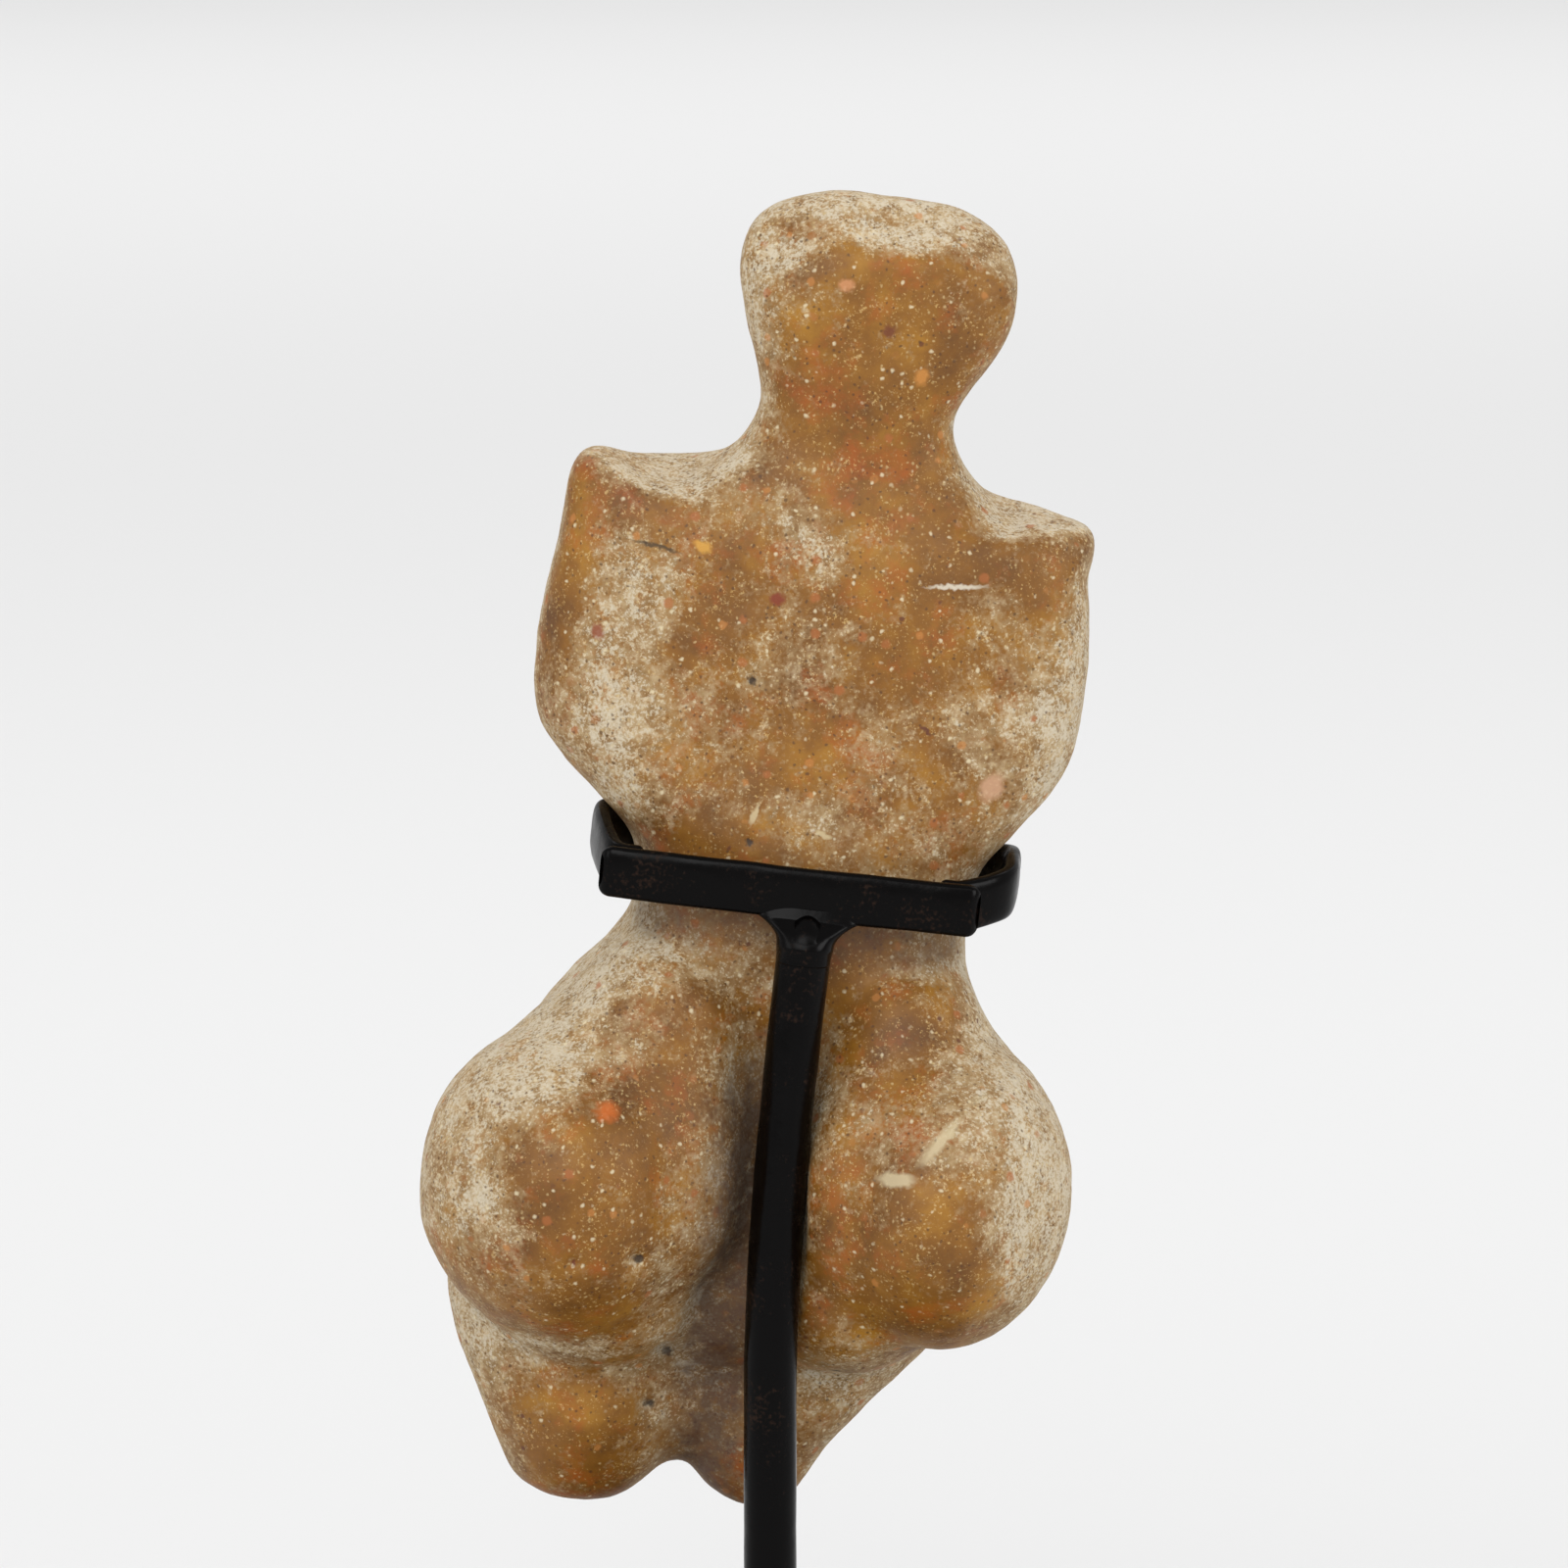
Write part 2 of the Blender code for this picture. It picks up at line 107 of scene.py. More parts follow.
def finishMesh(name, mesh, material, body, replaced, sharp=False):
    piece = addObject(name, mesh)
    mesh.materials.append(material)
    mesh.shade_smooth()
    if sharp:
        mesh.set_sharp_from_angle(angle=sharpAngle)
    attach(piece, body)
    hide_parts(*replaced)


def finishPiece(name, bm, material, body, replaced):
    finishMesh(name, meshFrom(name, bm), material, body, replaced)


def signedPower(value, exponent):
    return math.copysign(abs(value) ** exponent, value)


# Extrudes one ring of points through many places and caps both ends: ringAt(step, turn) gives each point
def sweepRings(bm, steps, turns, ringAt):
    mark = bm.verts.layers.int.get('turn') or bm.verts.layers.int.new('turn')
    made = bmesh.ops.create_circle(bm, cap_ends=False, radius=1, segments=turns)['verts']
    for turn, vert in enumerate(made):
        vert[mark] = turn
        vert.co = ringAt(0, turn)
    edges = list(dict.fromkeys(edge for vert in made for edge in vert.link_edges))
    bmesh.ops.contextual_create(bm, geom=edges)
    for step in range(1, steps):
        grown = bmesh.ops.extrude_edge_only(bm, edges=edges)['geom']
        edges = [part for part in grown if isinstance(part, bmesh.types.BMEdge)]
        for vert in (part for part in grown if isinstance(part, bmesh.types.BMVert)):
            vert.co = ringAt(step, vert[mark])
    bmesh.ops.contextual_create(bm, geom=edges)


# A smooth curve through given rows of numbers, as many rows as asked
def smoothRows(rows, count):
    rows = np.array(rows, float)
    ends = np.vstack([2 * rows[0] - rows[1], rows, 2 * rows[-1] - rows[-2]])
    result = []
    for share in np.linspace(0, len(rows) - 1, count):
        first = min(int(share), len(rows) - 2)
        t = share - first
        a, b, c, d = ends[first:first + 4]
        result.append(0.5 * (2 * b + (c - a) * t + (2 * a - 5 * b + 4 * c - d) * t ** 2
                             + (3 * b - a - 3 * c + d) * t ** 3))
    return np.array(result)


# In mm from the middle of the waist, with the height along the figure's own leaning axis. Each row of a
# loft is its height, left, right, back and front edge, and how square it is
figureForm = {
    'leanDegrees': 6.5,
    'voxel': 0.62 * mm,
    'fromCorner': (46.6 * mm, 30.35 * mm, 79.3 * mm),
    'trunk': (
        (-60, -24, 14, -5, 8, 2.2), (-54, -31, 22, -9.5, 13, 2.3), (-45, -34, 29, -12.5, 16.5, 2.3),
        (-36, -35, 30, -13.5, 18, 2.3), (-27, -33, 29, -13, 18.5, 2.3), (-20, -30.2, 26.7, -12.5, 18, 2.3),
        (-14.5, -26.3, 23.2, -12.3, 16.3, 2.4), (-10.5, -22.8, 21.3, -13, 15, 2.5),
        (-6.4, -20.5, 20.4, -14.3, 14.4, 2.6), (-1.6, -20.4, 20.4, -14.4, 14.4, 2.6),
        (2.6, -21.6, 21.2, -14.2, 14.5, 2.6), (5.8, -25, 23.4, -13.8, 14.6, 2.7),
        (9, -28.8, 25.8, -13.3, 14.6, 2.8), (12, -31.9, 28.1, -12.9, 14.6, 2.9),
        (15, -34.4, 29.9, -12.6, 14.6, 3), (20, -35.6, 31.2, -12.2, 14.5, 3.2),
        (30, -35.1, 31.2, -11.6, 13.2, 3.4), (39, -34.2, 30.3, -10.8, 11.8, 3.6),
        (44, -33.7, 29.6, -9.6, 10.8, 3.5), (47, -31.5, 24.5, -8.8, 10.2, 3.1),
        (49, -23, 18.3, -8.4, 9.3, 2.8), (51, -15, 14, -8, 8.2, 2.6), (56, -11.8, 11.5, -8, 8, 2.6),
        (61, -12.8, 13.7, -8.6, 8.6, 2.7), (67, -14.9, 17, -9.2, 9.2, 3), (73, -16.4, 17.6, -9.2, 9.6, 3.1),
        (78, -15, 16, -8, 9.2, 2.9), (80.8, -11.6, 12.4, -5.4, 7.8, 2.5), (82.6, -6, 8, -2, 5, 2)),
    'leftLeg': (
        (-80.6, -24, -16, -3, 5, 2), (-78.8, -27.2, -12.5, -6.5, 9, 2.1), (-74.5, -29.8, -8.5, -9, 11.5, 2.2),
        (-69, -32.4, -6.5, -10, 13, 2.3), (-62, -36, -5.5, -10.5, 14.5, 2.4),
        (-54, -38, -5, -10.5, 15.5, 2.4), (-46, -36.5, -6, -9, 14.5, 2.4), (-40, -31, -8, -6, 10, 2.3)),
    'rightLeg': (
        (-79.6, 0.5, 5, -1, 5, 2), (-77.3, -4.5, 7.8, -3, 8.5, 2.1), (-72, -7.5, 11, -5, 11.5, 2.2),
        (-65, -8, 15.8, -6.5, 13.5, 2.3), (-58, -6, 21.5, -8, 14.5, 2.4), (-50, -4, 25.5, -9, 14, 2.4),
        (-43, -2, 22, -6, 10, 2.3)),
    # centre, radii
    'swellings': (
        ((-24.6, -10.5, -39.5), (17.8, 19.8, 19.8)), ((20.7, -10.5, -35.6), (15.9, 19.8, 19.3)),
        ((-18.5, -7, -29), (16.2, 16.2, 15)), ((15.8, -7, -27.5), (14.2, 16, 15)),
        ((-14, 9, 21), (9.5, 8.5, 9.5)), ((10, 9, 21), (9.5, 8.5, 9.5)), ((-2, 8, -24), (22, 13, 16)),
        ((-11.5, -9, -37), (9.5, 14.5, 17)), ((10.5, -9.5, -36), (9.5, 15.5, 18)),
        ((10, -7, -50), (13, 13, 10)), ((-6, -3, -51), (10, 9.5, 12)), ((-20, -8, -52), (14, 12.5, 10)),
        ((-15, -7, -20), (12, 12.5, 12)), ((14, -7, -19), (10.5, 12, 12)), ((-8.5, 1, -65), (7, 8, 10.5))),
}


def sectionPoint(section, turn, turns):
    height, left, right, back, front, squareness = section
    angle = 2 * math.pi * turn / turns
    across = signedPower(math.cos(angle), 2 / squareness)
    along = signedPower(math.sin(angle), 2 / squareness)
    return Vector(((left + right) / 2 + (right - left) / 2 * across,
                   (back + front) / 2 + (front - back) / 2 * along, height)) * mm


def addLoft(bm, table, steps, turns=64):
    rows = smoothRows(table, steps)
    sweepRings(bm, steps, turns, lambda step, turn: sectionPoint(rows[step], turn, turns))


def remeshed(bm, voxel):
    bmesh.ops.recalc_face_normals(bm, faces=bm.faces)
    rough = addObject('rough', meshFrom('rough', bm))
    fuse = rough.modifiers.new('fuse', 'REMESH')
    fuse.mode = 'VOXEL'
    fuse.voxel_size = voxel
    return applied(rough)


# Numpy view of a mesh that can be carved: points, edges and normals
class Carving:
    def __init__(self, mesh):
        self.mesh = mesh
        self.points = np.empty(len(mesh.vertices) * 3)
        mesh.vertices.foreach_get('co', self.points)
        self.points = self.points.reshape(-1, 3) / mm
        edges = np.empty(len(mesh.edges) * 2, int)
        mesh.edges.foreach_get('vertices', edges)
        self.edges = edges.reshape(-1, 2)
        self.links = np.bincount(self.edges.ravel(), minlength=len(self.points))

    def average(self, values):
        total = np.zeros_like(values)
        first, second = self.edges.T
        np.add.at(total, first, values[second])
        np.add.at(total, second, values[first])
        return total / (self.links[:, None] if values.ndim > 1 else self.links)

    def smoothed(self, rounds, weight=1.0):
        share = np.asarray(weight)
        share = share[:, None] if share.ndim else share
        points = self.points.copy()
        for _ in range(rounds):
            points += share * 0.6 * (self.average(points) - points)
        return points

    def smooth(self, rounds, weight=1.0):
        self.points = self.smoothed(rounds, weight)

    def normals(self):
        self.mesh.vertices.foreach_set('co', (self.points * mm).ravel())
        self.mesh.update()
        normals = np.empty(len(self.points) * 3)
        self.mesh.vertex_normals.foreach_get('vector', normals)
        return normals.reshape(-1, 3)

    def press(self, centre, radii, push):
        away = np.linalg.norm((self.points - centre) / np.array(radii, float), axis=1)
        share = np.clip(1 - away ** 2, 0, 1) ** 2
        self.points += share[:, None] * np.array(push, float)

    # shaves off what stands in front of a plane, near a centre, as a rubbing stone would
    def shave(self, centre, normal, radii, strength=1.0):
        normal = np.array(normal, float) / np.linalg.norm(normal)
        proud = np.clip((self.points - centre) @ normal, 0, None)
        away = np.linalg.norm((self.points - centre) / np.array(radii, float), axis=1)
        share = np.clip(1.6 - 1.6 * away, 0, 1) * strength
        self.points -= (share * proud)[:, None] * normal

    def groove(self, route, width, depth):
        route = smoothRows(route, 40)
        nearest = np.full(len(self.points), 1e9)
        for place in route:
            nearest = np.minimum(nearest, np.linalg.norm(self.points - place, axis=1))
        share = np.exp(-(nearest / width) ** 2)
        self.points -= (share * depth)[:, None] * self.normals()


# All in mm in the figure's own frame: across, depth (the back is negative), height
figureCarving = {
    # centre, plane's normal, reach
    'shaved': (
        ((2, -8.7, 66), (0.03, -1, -0.03), (17, 8, 19)),
        ((2, -6.4, 77.8), (0.02, -0.6, 0.8), (13, 9, 8)),
        ((-9.5, -6.6, 74.6), (-0.5, -0.62, 0.6), (10, 9, 9)),
        ((13, -6.8, 75.6), (0.48, -0.62, 0.62), (9, 9, 9)),
        ((-13.6, -6.4, 68), (-0.83, -0.55, 0.05), (7, 9, 16)),
        ((15.6, -6.6, 70), (0.8, -0.6, 0.0), (5, 8, 12)),
        ((-2, -11.6, 30), (0, -1, 0.02), (34, 8, 26)),
        ((-32.6, -7.6, 32), (-0.84, -0.54, 0), (7, 10, 20)),
        ((28.6, -8, 22), (0.62, -0.78, -0.05), (9, 9, 26)),
        ((-22, -2, 46.4), (0.05, -0.25, 0.97), (12, 12, 5)),
        ((19, -2, 45.6), (-0.1, -0.25, 0.97), (11, 12, 5))),
    'pressed': (
        ((-19, -2, 48), (11, 14, 8), (0, 0, -1.6)), ((17, -2, 47.5), (9, 14, 8), (0, 0, -1.3)),
        ((-31.8, 0, 47), (6, 14, 6), (-0.5, 0, 1.6)), ((29.4, 0, 45), (5, 14, 6), (0.8, 0, 0.9)),
        ((1, -17, -24), (6, 9, 14), (0, 2.2, 0)), ((-19, -10, -68), (9, 8, 9), (0, -1.6, 0)),
        ((-22, -27, -34), (13, 10, 12), (0, -1.0, 0)), ((19, -27, -38), (12, 10, 12), (0, -1.0, 0)),
        ((-33, -22, -38), (9, 9, 13), (1.0, 1.2, 0)), ((31, -24, -34), (8, 10, 12), (-0.6, 1.0, 0))),
    # route, width, depth
    'grooved': (
        (((-37, -10, -52.5), (-29.6, -15, -56.3), (-23.9, -17, -57.6), (-17.5, -17, -55.9),
          (-13.6, -17, -52.2), (-12.6, -18, -47)), 3.0, 0.5),
        (((9.4, -14, -52), (12.9, -15, -54.4), (18, -14, -56), (25, -9, -56)), 3.0, 0.4),
        (((-6, -15, -48), (-6.6, -10, -58), (-7, -7, -66), (-7.5, -3, -76)), 2.4, 0.8),
        (((31.5, 6, 39), (31, -2, 39.7), (29, -9, 40)), 1.1, 0.5)),
    # centre, size and depth of small holes
    'pits': (
        (-9.1, -12, 23.9, 1.0, 0.9), (-7.3, -13, 4.8, 0.9, 0.7), (1, -13, 4.7, 0.8, 0.5),
        (-14.9, -27, -44.9, 1.0, 0.9), (-22.5, -28, -45.6, 0.8, 0.7), (-10, -13, -59.2, 1.3, 0.9),
        (-11.5, -10, -66.3, 1.0, 0.8), (10.5, -9, -58.8, 0.9, 0.6)),
    # middle and reach across, middle and reach in height, rounds of smoothing
    'blended': ((0, math.inf, -20, 11, 60), (2, 11, -38, 20, 50), (-17, 17, -55, 7, 50)),
    # heights, the rod's place across and in depth at each, and the room it needs about it
    'rodRoom': ((-60, -34, -14, -3), (2.2, 0.2, 0.4, 0.7), (-20, -19.6, -18.9, -18.55), 4.0),
}


def carveFigure():
    bm = bmesh.new()
    addLoft(bm, figureForm['trunk'], 90)
    for leg in ('leftLeg', 'rightLeg'):
        addLoft(bm, figureForm[leg], 26)
    for centre, radii in figureForm['swellings']:
        place = Matrix.Translation(Vector(centre) * mm) @ Matrix.Diagonal((*(Vector(radii) * mm), 1))
        bmesh.ops.create_uvsphere(bm, u_segments=56, v_segments=36, radius=1, matrix=place)
    stone = Carving(remeshed(bm, figureForm['voxel']))
    print('figure: fused', len(stone.points), 'points')
    stone.smooth(8)
    # saddle above the lobes, valley between them, and the underside of the left lobe
    for across, wide, height, tall, rounds in figureCarving['blended']:
        away = ((stone.points[:, 0] - across) / wide) ** 2 + ((stone.points[:, 2] - height) / tall) ** 2
        stone.smooth(rounds, np.exp(-away))
    for centre, normal, reach in figureCarving['shaved']:
        stone.shave(centre, normal, reach, 0.85)
    for centre, radii, push in figureCarving['pressed']:
        stone.press(centre, radii, push)
    for route, width, depth in figureCarving['grooved']:
        stone.groove(route, width, depth)
    stone.smooth(9)
    # room for the rod all the way down the cleft
    heights, *route, room = figureCarving['rodRoom']
    rod = [np.interp(stone.points[:, 2], heights, places) for places in route]
    beside = stone.points[:, :2] - np.stack(rod, axis=1)
    reach = np.linalg.norm(beside, axis=1)
    near = (reach < room) & (stone.points[:, 2] < -3.5) & (stone.points[:, 1] < 0)
    stone.points[near, :2] += beside[near] / reach[near, None] * (room - reach[near])[:, None]
    stone.smooth(3)
    return stone


# Unevenness of hand rubbing (wide), tool marks (middle) and grain (fine), in mm
figureRelief = {'wide': (11, 0.34), 'middle': (4.2, 0.13), 'fine': (1.6, 0.05)}


def addRelief(stone):
    normals = stone.normals()
    height = np.zeros(len(stone.points))
    for size, depth in figureRelief.values():
        height += depth * np.array([noise.noise(Vector(point) / size) for point in stone.points])
    for *centre, size, depth in figureCarving['pits']:
        flat = (stone.points - np.array(centre)) * (1, 0.35, 1)
        away = np.linalg.norm(flat, axis=1) / size
        height -= depth * np.exp(-away ** 2)
    collar = np.clip(np.abs(stone.points[:, 2] + 0.2) / 5 - 0.6, 0, 1)
    stone.points += normals * (height * collar)[:, None]


# Where hands and cloth have rubbed the stone down to ochre, and where pale crust is left:
# across, height, half width, half height, strength
figureWearAndShade = {
    'rubbed': (
        (3, 65, 11, 12, 0.65), (-4, 53, 5, 6, 0.4), (3, 52, 8, 6, 0.4), (6, 43, 8, 7, 0.5),
        (19, 43, 9, 4, 0.55), (9, 31, 9, 8, 0.4), (24, 36, 4, 5, 0.2), (-23, 43.5, 7, 3, 0.5),
        (-33, 33, 2.5, 14, 0.9), (-13, 34, 5, 5, 0.45), (-17, 26, 5, 4, 0.3), (-9, 15, 6, 6, 0.25),
        (-1, 17, 4, 7, 0.35), (-13, 3, 9, 2.5, 0.6), (12, 15, 7, 6, 0.12), (5, -9, 5, 5, 0.6),
        (12, -16, 6, 6, 0.55), (16, -22, 5, 5, 0.25), (14, -43, 9, 10, 0.55), (21, -44, 5, 10, 0.3),
        (5, -34, 3, 8, 0.1), (-21, -35, 9, 10, 0.75), (-14, -27, 6, 5, 0.5), (-20, -53, 8, 4, 0.45),
        (-36, -48, 4, 6, 0.3), (-19, -70, 7, 7, 0.5), (-11, -16, 6, 5, 0.25), (5, -62, 3, 6, 0.2)),
    'crusted': (
        (-13, 71, 3.5, 9, 0.5), (8, 70, 3, 5, 0.25), (1, 61, 5, 2.5, 0.2), (-26, 17, 8, 8, 0.6),
        (-25, 32, 6, 8, 0.45), (-3, 41, 5, 4, 0.6), (-6, 24, 4, 6, 0.15), (27, 22, 6, 14, 0.5),
        (18, 22, 4, 4, 0.2), (3, 7, 4, 4, 0.2), (-22, 8, 5, 4, 0.3), (19, 36, 4, 2, 0.2),
        (-32, -26, 9, 7, 0.45), (-34, -41, 5, 6, 0.55), (-9, -33, 3.5, 8, 0.35), (21, -26, 6, 4, 0.3),
        (31, -33, 6, 15, 0.5), (-23, -58.5, 10, 2.5, 0.5), (-21, -12, 9, 6, 0.35), (-33, -62, 6, 7, 0.35),
        (11, -61, 9, 9, 0.4), (-6, -60, 6, 14, 0.2)),
    'everywhere': 0.56,
    # from how far a face turns up or to the side pale crust is painted, and how strongly: partly real crust,
    # partly painted top light and edge sheen
    'turnedUpCrustAndLight': (0.32, 1.5),
    'turnedSidewaysCrustAndSheen': (0.45, 1.0),
    'driftSize': 14,
    # painted shade: the cleft's middle and reach across, its top and run-in; the height and reach of the
    # painted
    #     # shadow line under the bar
    'cleft': (-3.5, 5.5, -14, 14),
    'underBar': (-5.5, 3.5),
}


def wearAmount(points, patches):
    total = np.zeros(len(points))
    for across, height, wide, tall, strength in patches:
        away = ((points[:, 0] - across) / wide) ** 2 + ((points[:, 2] - height) / tall) ** 2
        total += strength * np.exp(-away)
    return total


def addWearAndShade(stone):
    normals = stone.normals()
    # how far each point stands out from the stone's broad form, negative in a hollow
    standing = ((stone.points - stone.smoothed(30)) * normals).sum(axis=1)
    across, height, wear = stone.points[:, 0], stone.points[:, 2], figureWearAndShade
    upLimit, upLoss = wear['turnedUpCrustAndLight']
    sideLimit, sideLoss = wear['turnedSidewaysCrustAndSheen']
    # pale crust on faces turned up or to the side: partly real crust, partly painted top light and edge sheen
    crustAndLitTopShare = np.clip(normals[:, 2] - upLimit, 0, 1) * np.where(height < -8, 0.6, 1.0)
    crustAndSheenShare = np.clip(np.abs(normals[:, 0]) - sideLimit, 0, 1)
    back = np.clip(-normals[:, 1] * 2, 0, 1)
    rubbed = wearAmount(stone.points, wear['rubbed']) - wearAmount(stone.points, wear['crusted'])
    drift = np.array([noise.noise(Vector(point) / wear['driftSize']) for point in stone.points])
    front = (0.12 + 0.7 * drift) * np.clip(normals[:, 1] * 2, 0, 1)
    polishAndPaintedLight = wear['everywhere'] + rubbed * back + front - upLoss * crustAndLitTopShare - sideLoss * crustAndSheenShare
    polishAndPaintedLight += np.clip(standing * 0.8, -0.3, 0.4)
    # painted shade: darker in hollows, in the cleft and in a line under the bar where its shadow falls
    deep = np.clip(-standing * 1.8, 0, 1)
    middle, reach, top, runIn = wear['cleft']
    cleft = np.exp(-((across - middle) / reach) ** 2) * np.clip((top - height) / runIn, 0, 1)
    line, reach = wear['underBar']
    underBar = np.exp(-((height - line) / reach) ** 2)
    paintedShade = np.clip(0.45 * deep + 1.0 * cleft * back + 0.7 * underBar * back, 0, 1)
    for name, values in (('polishAndPaintedLight', polishAndPaintedLight), ('paintedShade', paintedShade)):
        values = np.clip(stone.average(values), 0, 1)
        layer = stone.mesh.attributes.new(name, 'FLOAT', 'POINT')
        layer.data.foreach_set('value', values.astype(np.float32))


# Ochre limestone full of shell sand, carved and rubbed by hand: waxy brown where it is worn, chalky and
# pale where the old surface is left, with white grains all through it
stoneLook = {
    'ochre': ((0.30, '#653d08'), (0.50, '#85550c'), (0.70, '#a57218')),
    'stain': '#aa5005',
    'crust': ((0.34, '#8b6d45'), (0.52, '#aa8e64'), (0.70, '#c4ad88')),
    'chalk': '#d2c6ae',
    'wornChalk': '#cba766',
    # painted shade colour for hollows, the cleft and under the bar
    'paintedShadeTone': '#4c3325',
    # noise size in mm, where it starts to show on crust and on rubbed stone, and how strongly
    'chalkDust': ((0.38, 0.53, 0.61, 0.75), (0.9, 0.56, 0.66, 0.55), (2.4, 0.58, 0.71, 0.35)),
    'rubbedRoughness': 0.44,
    'crustRoughness': 0.8,
    # spacing in mm, inner and outer radius and share left out as parts of a cell, colour, strength
    'grains': ((2.9, 0.16, 0.26, 0.80, '#a8602a', 0.7), (2.3, 0.10, 0.18, 0.88, '#5e2c16', 0.8),
               (0.8, 0.14, 0.30, 0.60, '#4f2f10', 0.7), (2.6, 0.16, 0.24, 0.84, '#c07c38', 0.6),
               (0.62, 0.12, 0.34, 0.74, '#cdb27c', 0.6), (1.15, 0.12, 0.28, 0.78, '#ddcda8', 0.8)),
    # across, depth, height, half width, half height, tilt in degrees, colour, 1 for a hole
    'shells': (
        (-20.5, -29, -27.4, 1.7, 1.3, 0, '#c8641a', 0), (10.3, -27, -20.3, 1.6, 0.9, 10, '#cfc4b8', 0),
        (-16.8, -11, 39.2, 1.3, 0.7, 20, '#d09a3a', 0), (-3.3, -9, 72.2, 0.9, 0.8, 0, '#c98a5a', 0),
        (6.9, -9, 62.2, 0.9, 1.1, 0, '#c68438', 0), (2.4, -9, 67.2, 0.9, 0.8, 0, '#6e3416', 0),
        (-7.2, -11, 34, 1.0, 0.8, 0, '#7e2a12', 0), (-28.2, -11, 27.5, 0.8, 1.0, 0, '#8a3f22', 0),
        (21, -11, 14.1, 1.4, 1.9, 30, '#c79a78', 0), (13.8, -11, 37.8, 3.6, 0.35, -6, '#d8cdb8', 0),
        (19.5, -30, -26, 4.2, 0.8, -52, '#cdbb95', 0), (14.5, -28, -31.4, 2.4, 0.9, -10, '#cdbb95', 0),
        (23.6, -29, -21.3, 2.4, 0.7, -30, '#cbb88f', 0), (-7, -13, 8.2, 0.4, 1.5, 20, '#c9b48a', 0),
        (1.5, -13, 6.7, 1.1, 0.35, 20, '#c9b48a', 0), (-22.3, -11, 38.6, 3.0, 0.28, 8, '#4a3822', 1),
        (-9.1, -12, 23.9, 0.55, 0.6, 0, '#2a2018', 1), (-7.3, -13, 4.8, 0.5, 0.45, 0, '#2a1f16', 1),
        (-14.9, -27, -44.9, 0.6, 0.65, 0, '#241b14', 1), (-22.5, -28, -45.6, 0.35, 0.4, 0, '#6a2a14', 1),
        (-10, -13, -59.2, 0.95, 0.7, 35, '#3c3128', 1), (-11.5, -10, -66.3, 0.75, 0.45, 30, '#2c241c', 1),
        (10.5, -9, -58.8, 0.7, 0.4, 10, '#4a3c2c', 1), (12.3, -12, 20.3, 0.9, 0.25, 30, '#5c2a16', 0)),
}


